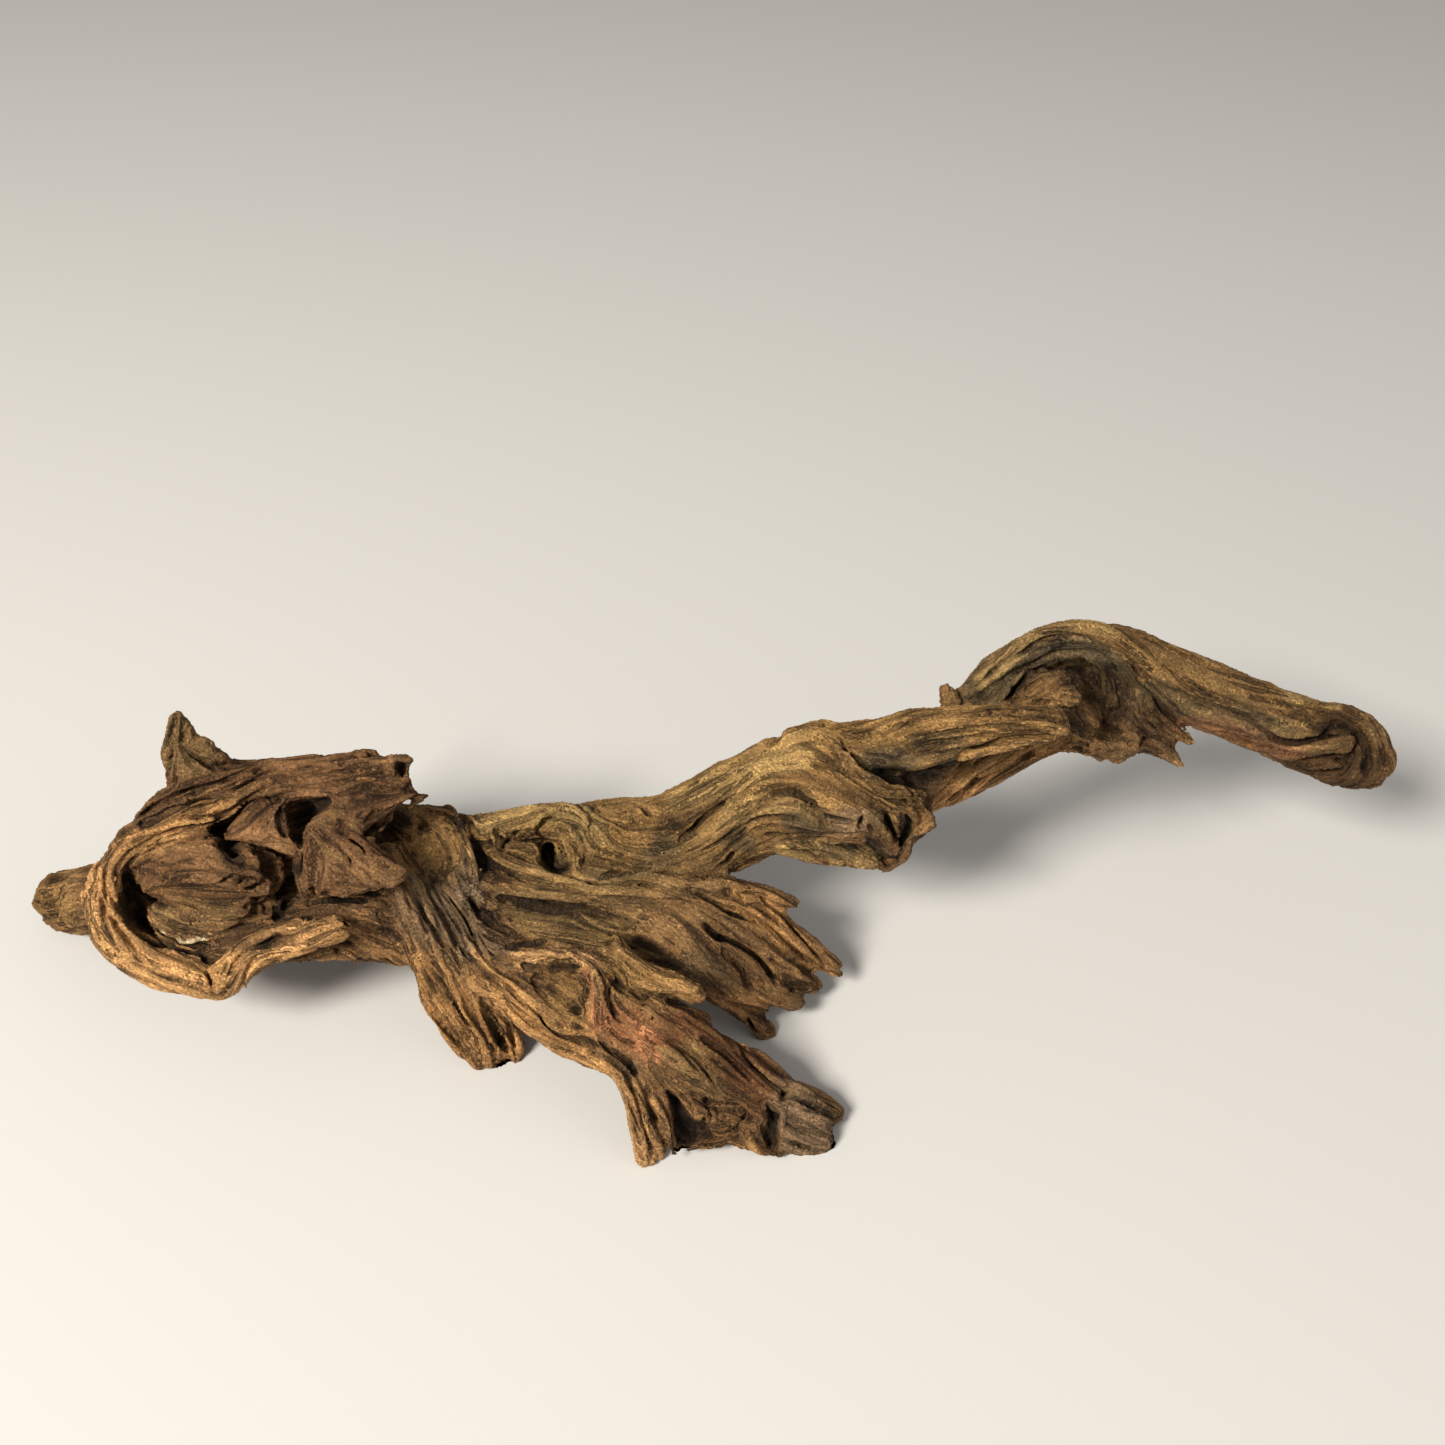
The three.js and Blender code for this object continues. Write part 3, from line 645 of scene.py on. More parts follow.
def lobe(c):
    """The big lobe over the bowl, its swirling hole with a curled nub, and the smooth ramp beside it."""
    c.pad([
        (141, 852), (165, 841), (196, 838), (212, 842), (222, 860), (240, 880), (252, 900), (225, 905),
        (196, 906), (170, 899), (150, 890), (138, 874),
    ], 6, 3, 0.5)
    c.refresh()
    c.pit([
        (215, 843), (222, 834), (236, 838), (262, 845), (284, 851), (297, 856), (297, 868), (292, 884),
        (285, 899), (275, 911), (268, 905), (264, 893), (271, 884), (264, 875), (259, 867), (258, 859),
        (250, 852), (238, 851), (232, 855), (236, 864), (243, 873), (231, 868), (221, 859),
    ], 8, 0.35)
    c.pit([
        (218, 842), (228, 838), (240, 842), (236, 850), (231, 855), (234, 864), (241, 872), (231, 867),
        (221, 858),
    ], 15)
    c.pit([(224, 832), (232, 822), (242, 813), (247, 815), (238, 826), (232, 836)], 3.5, 0.6)
    c.pit([(256, 898), (264, 899), (270, 906), (275, 912), (268, 914), (258, 908)], 8)
    c.pad([
        (262, 803), (273, 800), (284, 801), (286, 815), (289, 830), (294, 842), (301, 853), (286, 851),
        (262, 843), (240, 838), (226, 836), (236, 823), (248, 811),
    ], 5, 2.6, 0.3, anchors=[(265, 796, -1), (206, 845, -2), (308, 850, -4), (330, 840, -3)])
    c.refresh()
    c.cleft([(271, 804), (264, 818), (250, 832)], 1.2, 1.4)
    c.cleft([(281, 806), (280, 822), (286, 840)], 1.2, 1.2)
    c.rib([(262, 842), (280, 848), (298, 855)], 2.4, 1)
    c.rib([(234, 853), (244, 850), (254, 856), (257, 866), (250, 873)], 4, 1.8, grain=False)
    c.cleft([(301, 852), (300, 868), (295, 884), (287, 900), (275, 918)], 2.4, 9)
    c.pit([(292, 893), (294, 903), (286, 912), (275, 918), (281, 905)], 8)
    c.rib([(206, 846), (216, 862), (232, 874), (250, 880)], 6, 1.4)
    c.rib([(212, 882), (220, 878), (229, 875), (234, 871)], 2.4, 2.2, grain=False)
    c.rib([(242, 873), (248, 870), (256, 872), (261, 878), (256, 884)], 2.4, 2, grain=False)
    c.rib([(256, 888), (266, 885), (270, 890), (263, 897), (256, 902)], 2.4, 2.4, grain=False)
    c.cleft([(213, 885), (226, 880), (236, 877)], 1.3, 3, grain=False)
    c.cleft([(238, 884), (246, 877), (256, 878)], 1.5, 4, grain=False)
    c.cleft([(247, 889), (257, 884), (266, 882)], 1.5, 4, grain=False)
    c.cleft([(254, 903), (262, 896), (272, 893)], 1.5, 4, grain=False)
    c.rib([(292, 762), (268, 763), (245, 772), (222, 782), (196, 787), (170, 790)], 4, 1.2)
    c.rib([(290, 774), (262, 777), (240, 786), (215, 796), (190, 800), (162, 809), (140, 822)], 4.5, 1.8)
    c.rib([(276, 782), (252, 792), (234, 806), (215, 818), (188, 824), (160, 834), (138, 848)], 4.5, 1.6)
    c.rib([(150, 812), (130, 828), (112, 848)], 5, 1.6)
    c.cleft([
        (270, 763), (250, 772), (228, 780), (210, 788), (188, 791), (165, 797), (143, 810), (122, 826),
        (106, 844),
    ], 2.4, 5)
    c.cleft([(262, 768), (252, 771)], 3, 5, ends=0.5, grain=False)
    c.cleft([(232, 783), (212, 790), (190, 794), (168, 801)], 1.3, 4)
    c.cleft([
        (294, 768), (275, 772), (257, 779), (238, 790), (214, 796), (190, 802), (165, 812), (142, 824),
    ], 1.6, 4)
    c.cleft([
        (272, 785), (250, 796), (235, 808), (218, 821), (198, 826), (175, 829), (152, 839), (134, 851),
        (124, 868),
    ], 1.8, 4)
    c.cleft([(262, 797), (244, 806), (228, 820), (214, 834), (206, 840)], 1.3, 3)
    c.cleft([(244, 797), (226, 810), (204, 817), (180, 820)], 1.1, 2.4)
    c.cleft([(205, 840), (180, 838), (155, 847), (138, 862)], 1.0, 1.8)
    c.cleft([(208, 855), (190, 858), (172, 870), (162, 885)], 0.9, 1.3)
    c.cleft([(140, 852), (130, 862), (125, 872)], 1.2, 3)
    c.cleft([(132, 850), (120, 864), (114, 878)], 1.2, 2.4)


def brow(c):
    """The brow over the cavity, with its hollow tip and its torn flap."""
    c.pit([
        (285, 802), (296, 799), (310, 797), (322, 796), (334, 798), (329, 806), (320, 814), (311, 826),
        (304, 840), (301, 853), (295, 842), (289, 826),
    ], 13, 0.2, anchors=[(285, 796), (330, 792), (320, 825), (303, 855)])
    c.pad([
        (333, 800), (345, 793), (362, 798), (372, 806), (366, 822), (357, 832), (346, 824), (336, 812),
    ], 7, 0.5, 0.3, anchors=[(340, 790), (375, 795), (345, 838), (330, 825)])
    c.pit([(298, 779), (304, 782), (311, 788), (303, 791), (297, 788)], 5, 0.2, 0.7 * MM)
    c.pit([(393, 766), (398, 759), (404, 757), (408, 762), (408, 771), (404, 779), (398, 777)], 7, 0.2)
    c.pit([
        (360, 838), (372, 826), (392, 811), (408, 812), (403, 828), (409, 845), (424, 858), (430, 874),
        (418, 884), (404, 871), (386, 858), (368, 851),
    ], 10, 0.9, 3 * MM)
    c.refresh()
    c.rib([(262, 797), (280, 788), (298, 786), (314, 792), (340, 796)], 4, 2)
    c.rib([(272, 786), (288, 781), (300, 782)], 5, 1.4)
    c.cleft([(262, 798), (270, 802), (280, 800)], 1.3, 4, grain=False)
    c.rib([(383, 758), (397, 756), (408, 757), (413, 762)], 3, 1)
    c.spike([(404, 799), (412, 796), (420, 792), (427, 795)], 4.4, 3)
    c.rib([(357, 831), (375, 818), (395, 804), (410, 797)], 3, 1.8)
    c.cleft([(360, 838), (378, 826), (396, 812), (412, 803)], 3, 10)
    c.cleft([(345, 765), (315, 768), (285, 775)], 1.2, 2)
    c.cleft([(395, 775), (365, 770), (335, 775), (310, 778)], 1, 1.6)
    c.rib([(400, 765), (370, 762), (340, 766), (305, 768)], 5, 1.3)
    c.cleft([(385, 790), (360, 785), (335, 790)], 1, 1.5)
    c.cleft([(392, 780), (375, 778), (350, 781), (325, 786)], 0.9, 1.4)
    c.rib([(352, 754), (364, 750), (376, 753)], 5, 1, grain=False)


def snout(c):
    """The blunt snout between the lobe and the ear."""
    c.pad([
        (364, 850, 1), (385, 857, 2), (399, 864, 2.4), (406, 871, 2), (401, 881, 2), (385, 887, 1),
        (374, 882, 0),
    ], 8, 1, 0.4)
    c.pad([
        (336, 838), (350, 841), (362, 852), (373, 866), (376, 880), (360, 875), (348, 860),
    ], 4, 1.4, 0.8)
    c.rib([(303, 843), (312, 829), (324, 818), (336, 811), (350, 816)], 5, 2)
    c.rib([(345, 825), (358, 835), (366, 849), (385, 857), (405, 870)], 4, 2)
    c.rib([(328, 835), (346, 848), (360, 864), (372, 880), (383, 888)], 4, 1.6)
    c.rib([(372, 889), (390, 883), (405, 871)], 4, 1.6)
    c.rib([(303, 845), (301, 865), (302, 885), (306, 900)], 5, 1.6)
    c.dent([(343, 858), (356, 872)], 6, 1.4, grain=False)
    c.dent([(320, 850), (317, 870), (314, 886)], 9, 1.4)
    c.cleft([(311, 888), (313, 903)], 1.5, 3, grain=False)
    c.cleft([(325, 892), (322, 902)], 1.2, 2.4, grain=False)
    c.cleft([(308, 904), (330, 899), (350, 899), (366, 901)], 1.6, 4)
    c.cleft([(350, 900), (366, 896), (384, 889)], 1.6, 4)
    c.cleft([(350, 840), (361, 847), (366, 856)], 1.4, 3, grain=False)
    c.cleft([(335, 843), (348, 856), (352, 868)], 1.1, 2, grain=False)
    c.cleft([(360, 868), (369, 874), (372, 882)], 1.1, 2, grain=False)


def horn(c):
    """The horn at the upper left, and the lobes on its right slope."""
    c.cleft([(176, 716), (174, 738), (170, 762), (168, 785)], 0.9, 1.4)
    c.cleft([(187, 728), (182, 742), (194, 753), (210, 764)], 1.2, 2.2)
    c.rib([(196, 742), (206, 745), (214, 752)], 5, 2)
    c.rib([(212, 752), (222, 756), (231, 763)], 5, 1.8)
    c.rib([(170, 715), (168, 740), (165, 765)], 4, 1.4)
    c.dent([(190, 760), (188, 775)], 9, 1.6)


def ear(c):
    """The flared ear, its thin right rim and the furrowed neck under it."""
    c.dent([(428, 812), (437, 840), (440, 868)], 22, 4.5, blend=4 * MM)
    c.refresh()
    c.rib([(430, 811), (444, 808), (457, 810)], 4, 2)
    c.rib([(447, 808), (456, 812), (462, 822)], 4, 2)
    c.rib([(456, 806), (463, 825), (471, 845), (477, 862), (478, 880), (470, 896)], 3.4, 2.6)
    c.cleft([(462, 812), (470, 832), (480, 850), (484, 866)], 3.2, 8)
    c.cleft([(440, 885), (455, 905), (468, 925), (480, 950), (488, 962)], 1.4, 3)
    c.cleft([(412, 890), (425, 915), (440, 940), (458, 962), (466, 977)], 1.6, 3.4)
    c.cleft([(428, 895), (445, 920), (460, 945), (472, 960)], 1.2, 1.8)
    c.rib([(434, 888), (452, 915), (468, 942), (480, 962)], 6, 1.2)
    c.rib([(420, 895), (436, 925), (455, 955)], 6, 1.2)
    c.rib([(403, 900), (415, 930), (432, 962)], 7, 1.6)
    c.cleft([(466, 896), (474, 906), (480, 920)], 1.5, 3)
    c.cleft([(482, 885), (497, 897), (520, 905), (545, 911), (575, 912)], 1.5, 2.6)


def small_root(c):
    """The furrowed leg under the head."""
    c.cleft([(425, 965), (445, 992), (465, 1022), (480, 1040)], 1.8, 4)
    c.cleft([(425, 1000), (445, 1030), (468, 1058)], 1.2, 2.4)
    c.rib([(415, 975), (430, 1010), (455, 1045), (478, 1068)], 5, 2)
    c.rib([(440, 975), (455, 1000), (475, 1030), (490, 1055)], 5, 2)
    c.rib([(470, 985), (482, 1010), (500, 1040), (514, 1062)], 4, 1.6)
    c.cleft([(490, 1000), (488, 1018), (497, 1038), (510, 1052)], 3, 7)
    c.pad([
        (489, 1006, -5), (500, 1003, -5), (511, 1018, -6), (519, 1034, -6), (522, 1048, -6),
        (519, 1060, -5), (511, 1067, -4), (496, 1070, -3), (482, 1067, -2), (482, 1050, -2),
        (484, 1028, -3),
    ], 14, 1, 0.1, anchors=[(470, 1000, -3), (478, 1040, -3), (488, 1056, -4), (460, 1020, -3)])
    c.refresh()
    c.cleft([(499, 1008), (506, 1022), (513, 1038), (517, 1054)], 1.8, 5)
    c.pit([
        (493, 1061), (500, 1059), (512, 1060), (513, 1066), (504, 1069), (494, 1068),
    ], 6, 0.3, 0.8 * MM)
    c.rib([(470, 984), (486, 984), (508, 992), (532, 1006)], 8, 2, ends=(0.15, 0.7))


def trunk(c):
    """The thick limb: its rotted cavity, its knots, the crack and the long swirl of its grain."""
    c.pit([
        (470, 838), (486, 838), (500, 836), (516, 833), (534, 836), (549, 839), (563, 842), (570, 850),
        (574, 864), (573, 872), (566, 877), (556, 879), (545, 873), (536, 863), (520, 862), (506, 858),
        (496, 850), (478, 851),
    ], 7, 0.3)
    c.pit([
        (538, 860), (548, 858), (560, 862), (573, 862), (573, 872), (566, 877), (556, 879), (545, 873),
    ], 16, 0.25)
    c.pit([(468, 836), (484, 838), (497, 843), (498, 849), (482, 851), (473, 848)], 11, 0.3)
    c.refresh()
    c.pad([(515, 834, 4), (526, 832, 4), (532, 836, 4), (519, 845, 4), (513, 841, 4)], 5, 0.6)
    c.pad([
        (556, 845, 4), (563, 843, 4), (571, 851, 4), (572, 861, 3), (564, 860, 3), (560, 854, 4),
    ], 5, 0.6)
    c.pad([
        (508, 847, 3), (520, 843, 3), (534, 839, 3), (538, 846, 3), (536, 857, 2), (524, 860, 2),
        (510, 857, 2),
    ], 6, 1)
    c.pad([
        (549, 843, 3), (556, 846, 3), (560, 856, 2), (562, 864), (557, 868), (549, 860), (545, 850, 2),
    ], 5, 1, 0.2)
    c.rib([(492, 830), (494, 838, 3), (495, 847, 3)], 2.4, 1.4)
    c.cleft([(500, 851), (507, 842), (512, 834), (519, 832)], 1.8, 4, grain=False)
    c.cleft([(512, 840), (519, 845), (533, 835)], 1.5, 3, grain=False)
    c.cleft([(498, 829), (499, 838), (497, 846)], 1.4, 3, grain=False)
    c.rib([(478, 828), (500, 826), (525, 820), (545, 811), (565, 807), (580, 813), (588, 830)], 4.5, 2)
    c.cleft([(496, 834), (510, 838), (524, 834), (532, 828)], 1.6, 4, grain=False)
    c.cleft([(538, 845), (541, 853), (545, 858)], 1.6, 3, grain=False)
    c.cleft([(548, 842), (547, 850), (551, 860)], 1.5, 3, grain=False)
    c.cleft([(556, 846), (560, 852), (562, 860)], 1.5, 3, grain=False)
    c.cleft([(563, 846), (560, 853), (566, 857)], 1.1, 2.4, grain=False)
    c.rib([(574, 838), (578, 854), (576, 868)], 3, 1.4)
    c.rib([(494, 851), (510, 861), (526, 869), (546, 879), (574, 884)], 4, 2)
    c.rib([(484, 858), (505, 870), (530, 880), (558, 886), (600, 889)], 3, 1.4)
    c.cleft([
        (478, 852), (490, 861), (506, 869), (522, 877), (542, 884), (565, 888), (600, 889), (640, 890),
    ], 1.6, 4.5)
    c.cleft([(566, 877), (582, 881), (602, 885), (625, 886), (652, 887)], 2, 5)
    c.pad([(560, 877, 1), (572, 878, 1), (574, 882, 1), (561, 881, 1)], 3, 0.4)
    c.cleft([
        (554, 815), (547, 820), (539, 825), (534, 829), (536, 834), (543, 837), (549, 840),
    ], 1.8, 5, grain=False)
    c.cleft([(680, 842), (690, 832), (705, 818), (720, 808), (730, 801)], 1.6, 4.5)
    c.cleft([(735, 799), (750, 790), (762, 787)], 0.9, 1.8)
    c.cleft([(762, 795), (790, 792), (808, 800), (820, 812), (834, 818)], 1.2, 2.6)
    c.dent([(620, 816), (627, 811), (636, 813), (638, 822), (633, 830), (624, 829)], 2, 0.9)
    c.dent([(612, 807), (628, 801), (645, 808), (650, 824)], 2.2, 0.7)
    c.dent([(645, 836), (630, 842), (614, 836), (608, 824)], 2.2, 0.7)
    c.rib([(627, 817), (630, 823)], 4, 0.8, grain=False)
    c.dent([(664, 828), (672, 823), (680, 827), (674, 833)], 2, 1)
    c.cleft([(590, 815), (592, 830), (600, 842)], 1.2, 2)
    c.rib([(586, 806), (588, 820), (594, 834), (606, 838)], 3.5, 1.4)
    c.rib([(660, 815), (690, 795), (730, 775), (770, 762), (800, 750)], 5, 1.4)
    c.rib([(700, 815), (735, 795), (765, 783), (800, 782)], 6, 1.6)
    c.rib([(690, 850), (720, 832), (755, 812), (790, 808), (820, 822)], 6, 1.4)
    c.cleft([(660, 800), (700, 782), (740, 762), (780, 748)], 1, 1.8)
    c.cleft([(735, 838), (755, 822), (780, 816), (800, 820)], 1.2, 1.8)
    c.cleft([(600, 878), (615, 872), (625, 862)], 1.4, 3)
    c.cleft([(720, 870), (730, 858), (733, 852)], 1.2, 2.6)
    c.cleft([(702, 880), (715, 870), (725, 862)], 1, 1.8)


def knuckle(c):
    """The broken lobes where the trunk meets the broken limb."""
    c.pad([
        (876, 796), (892, 790), (908, 790), (925, 803), (932, 818), (924, 831), (911, 841), (908, 853),
        (897, 862), (884, 866), (875, 856), (866, 836),
    ], 16, 2, 0.15, anchors=[(850, 790), (880, 790), (890, 822), (850, 850)])
    c.refresh()
    c.pit([
        (864, 834), (871, 839), (879, 847), (888, 853), (897, 857), (905, 850), (907, 854), (899, 862),
        (889, 866), (881, 862), (875, 852), (869, 842),
    ], 8, 0.2)
    c.pit([
        (899, 809), (907, 812), (913, 822), (911, 834), (904, 844), (899, 848), (897, 838), (901, 830),
        (904, 820),
    ], 8, 0.2)
    c.pit([(840, 807), (856, 812), (862, 820), (852, 830), (832, 833), (818, 826), (826, 814)], 1.6, 0.8)
    c.refresh()
    c.pad([
        (862, 826, 1), (869, 823, 1), (878, 833, 1.6), (886, 845, 2), (888, 852, 1.4), (879, 846, 1),
        (870, 837, 1),
    ], 6)
    c.pad([
        (875, 821, 1), (882, 818, 1), (888, 828, 1.6), (893, 840, 1.8), (889, 850, 1.4), (882, 838, 1),
    ], 6)
    c.pad([
        (888, 813, 1), (898, 810, 1), (904, 818, 1.6), (902, 828, 1.8), (897, 837, 1.4), (891, 826, 1),
    ], 6)
    c.rib([(770, 850), (800, 845), (840, 848), (868, 858)], 6, 1.6)
    c.rib([(805, 842), (835, 840), (858, 838), (870, 846)], 5, 1.4)
    c.cleft([(755, 848), (780, 838), (810, 837), (845, 836), (864, 834)], 1.4, 2.8)
    c.cleft([(815, 842), (842, 848), (862, 856), (874, 862)], 0.9, 1.8)
    c.cleft([(884, 813), (888, 824), (893, 833), (897, 843)], 2, 6)
    c.cleft([(863, 816), (858, 823), (862, 829)], 1.3, 4, grain=False)
    c.cleft([(869, 824), (872, 830), (876, 836)], 1.2, 3, grain=False)
    c.cleft([(846, 862), (848, 867)], 1.2, 3, grain=False)
    c.cleft([(853, 863), (854, 868)], 1.2, 3, grain=False)
    c.rib([(903, 792), (917, 801), (929, 813), (932, 821), (922, 832), (912, 841)], 5, 1.6)
    c.rib([(907, 806), (917, 814), (922, 822), (916, 832)], 3.5, 1.4)
    c.rib([(911, 838), (909, 848), (903, 858), (892, 863)], 4, 1.2)
    c.refresh()
    c.pit([
        (901, 811), (906, 814), (912, 820), (912, 829), (907, 838), (902, 846), (899, 841), (904, 831),
        (907, 822),
    ], 9, 0.1)
    c.cleft([(914, 804), (921, 812), (923, 822), (917, 832)], 1.1, 2.4)
    c.cleft([(884, 800), (896, 804), (905, 804)], 1.2, 2.4, grain=False)
    c.cleft([(838, 735), (850, 752), (864, 766), (882, 778), (905, 786), (917, 795)], 2, 5)
    c.cleft([(822, 722), (834, 727), (848, 724)], 3.4, 5)
    c.rib([(790, 740), (815, 735), (832, 745), (855, 770), (880, 790), (905, 800)], 6, 1.6)
    c.cleft([(810, 750), (835, 765), (860, 785), (880, 798)], 1, 1.8)
    c.cleft([(800, 765), (825, 775), (850, 795), (868, 808)], 1, 1.6)
    c.cleft([(800, 805), (815, 813), (828, 819), (845, 821), (858, 823)], 1.3, 3)


def plank(c):
    """The broken limb's straight plank, the torn strip along its lower edge and the branch behind."""
    gap = [
        (868, 766), (880, 771), (898, 771), (920, 767), (940, 760), (958, 754), (967, 750), (958, 760),
        (945, 774), (932, 785), (916, 791), (900, 784), (884, 777),
    ]
    c.backing(gap, 19, 7)
    c.pit(gap, 17, 0.15)
    c.refresh()
    c.cleft([(958, 754), (984, 746), (1005, 738), (1035, 737), (1062, 738)], 2.2, 6)
    c.cleft([(850, 740), (890, 728), (940, 717), (1000, 711), (1050, 714)], 1, 1.8)
    c.cleft([(880, 739), (930, 727), (990, 719), (1052, 720)], 1, 1.6)
    c.cleft([(900, 744), (950, 732), (1010, 727), (1055, 729)], 1, 1.6)
    c.cleft([(900, 723), (940, 712), (980, 706), (1020, 706)], 0.9, 1.4)
    c.cleft([(905, 748), (930, 742), (965, 738), (998, 734)], 1.4, 3)
    c.rib([(895, 757), (925, 750), (955, 743), (985, 740)], 4, 1.6)
    c.rib([(860, 738), (900, 724), (950, 713), (1000, 708), (1045, 710)], 4, 1.2)
    c.rib([(880, 744), (930, 731), (980, 724), (1040, 724), (1064, 727)], 4, 1.2)
    c.cleft([(1045, 708), (1056, 714), (1062, 722)], 1.4, 3, grain=False)
    c.cleft([(943, 806), (966, 788), (996, 770), (1036, 752)], 1.2, 2.2)
    c.cleft([(935, 812), (965, 800), (985, 782), (1010, 765), (1050, 750)], 1, 1.8)
    c.rib([(946, 796), (968, 778), (992, 763), (1020, 752)], 5, 1.4)
    c.cleft([(965, 798), (972, 785), (976, 776)], 1.2, 2.4)
    c.rib([(1062, 742), (1075, 742)], 5, 2.6, grain=False)
    c.spike([(952, 703), (948, 695), (944, 688)], 7.5, 4.5)


def arch(c):
    """The arched limb: a tan band round a grey hollow, the stump inside it and the splintered web below."""
    c.dent([
        (985, 692), (1008, 670), (1034, 652), (1062, 645), (1090, 650), (1113, 666), (1138, 687),
    ], 14, 3.6)
    band = [
        (955, 692), (985, 676), (1010, 655), (1035, 637), (1065, 629), (1095, 631), (1125, 646),
        (1155, 666), (1190, 690),
    ]
    c.rib(band, 9, 2.2)
    c.refresh()
    c.cleft([
        (970, 692), (1000, 668), (1030, 647), (1060, 639), (1092, 643), (1122, 658), (1150, 678),
        (1185, 698),
    ], 1.4, 2.4)
    c.dent([(1075, 665), (1092, 672), (1100, 690), (1094, 712)], 12, 4)
    hollow = [
        (1058, 666), (1070, 669), (1079, 679), (1090, 691), (1098, 702), (1100, 716), (1093, 728),
        (1083, 735), (1073, 730), (1067, 716), (1066, 706), (1060, 690),
    ]
    c.backing(hollow, 9, 8)
    c.refresh()
    c.pit(hollow, 8, 0.4)
    c.pad([
        (1008, 702), (1020, 688), (1030, 678), (1042, 672), (1052, 670), (1064, 672), (1073, 680),
        (1074, 688), (1080, 697), (1076, 704), (1066, 706), (1054, 704), (1030, 704),
    ], 9, 0.5, 0.1, anchors=[(1000, 704, -3), (1050, 712, -1), (1030, 640, -7), (1100, 644, -4)])
    c.refresh()
    c.rib([(1016, 696), (1032, 682), (1048, 675), (1064, 677)], 4, 1.2)
    c.pad([
        (1048, 686, 2), (1060, 684, 2), (1070, 689, 2), (1078, 697, 2), (1074, 703, 1), (1062, 703, 1),
        (1050, 698, 1),
    ], 4)
    c.dent([(1026, 696), (1036, 690), (1047, 688)], 5, 1.2)
    c.cleft([(1049, 694), (1048, 686), (1056, 681), (1066, 684)], 1.1, 2, grain=False)
    c.cleft([(1024, 693), (1034, 684), (1046, 678)], 1.1, 1.6)
    c.cleft([(1030, 674), (1044, 668), (1058, 667)], 1.8, 4)
    c.cleft([(1007, 699), (1018, 685), (1029, 671)], 2, 6)
    c.cleft([(1006, 701), (1030, 701), (1055, 703), (1070, 710)], 2, 4)
    c.rib([(1002, 700), (1007, 691), (1011, 686)], 2.6, 2.4)
    c.rib([(1012, 687), (1021, 676), (1031, 667)], 2.4, 2)
    c.dent([(1050, 690), (1058, 688)], 4, 1, grain=False)
    c.rib([(1097, 658), (1111, 672), (1119, 690), (1116, 710)], 5, 1.4)
    c.rib([(1109, 656), (1127, 674), (1137, 695), (1133, 716)], 5, 1.2)
    c.rib([(1106, 690), (1108, 702), (1104, 716)], 4, 1)
    c.dent([(1107, 666), (1116, 677), (1122, 690), (1121, 702)], 4, 1.2)
    c.dent([(1116, 664), (1128, 680), (1137, 700)], 4, 1)
    c.cleft([(1040, 660), (1060, 654), (1082, 660), (1098, 676), (1104, 700)], 1, 2)
    c.cleft([(1010, 676), (1035, 660), (1062, 650), (1090, 655)], 1, 1.8)
    c.cleft([(1150, 695), (1160, 710), (1175, 722), (1186, 731), (1192, 738)], 1.8, 5)
    c.pad([
        (1086, 738), (1102, 742), (1122, 736), (1148, 738), (1166, 750), (1177, 761), (1160, 757),
        (1144, 751), (1131, 753), (1120, 760), (1109, 758), (1098, 752), (1087, 752),
    ], 5, 0.8)
    c.rib([(1125, 734), (1148, 742), (1168, 753), (1180, 764)], 6, 2)
    c.dent([(1095, 748), (1112, 750), (1128, 744), (1146, 744)], 4, 1)
    c.spike([(1168, 752), (1177, 760), (1181, 766)], 4, 1.6)
    c.rib([(1148, 716), (1168, 732), (1188, 744)], 4, 1.8)
    c.spike([(1178, 738), (1186, 743), (1192, 742)], 3, 1)
    c.hole(1181, 750, 3, 9)
    c.dent([(1100, 740), (1120, 742), (1140, 737), (1153, 744)], 4, 1)
    c.cleft([(1135, 715), (1155, 728), (1170, 740)], 1.2, 2.4)
    c.cleft([(1088, 735), (1092, 742), (1090, 750)], 1.6, 3, grain=False)


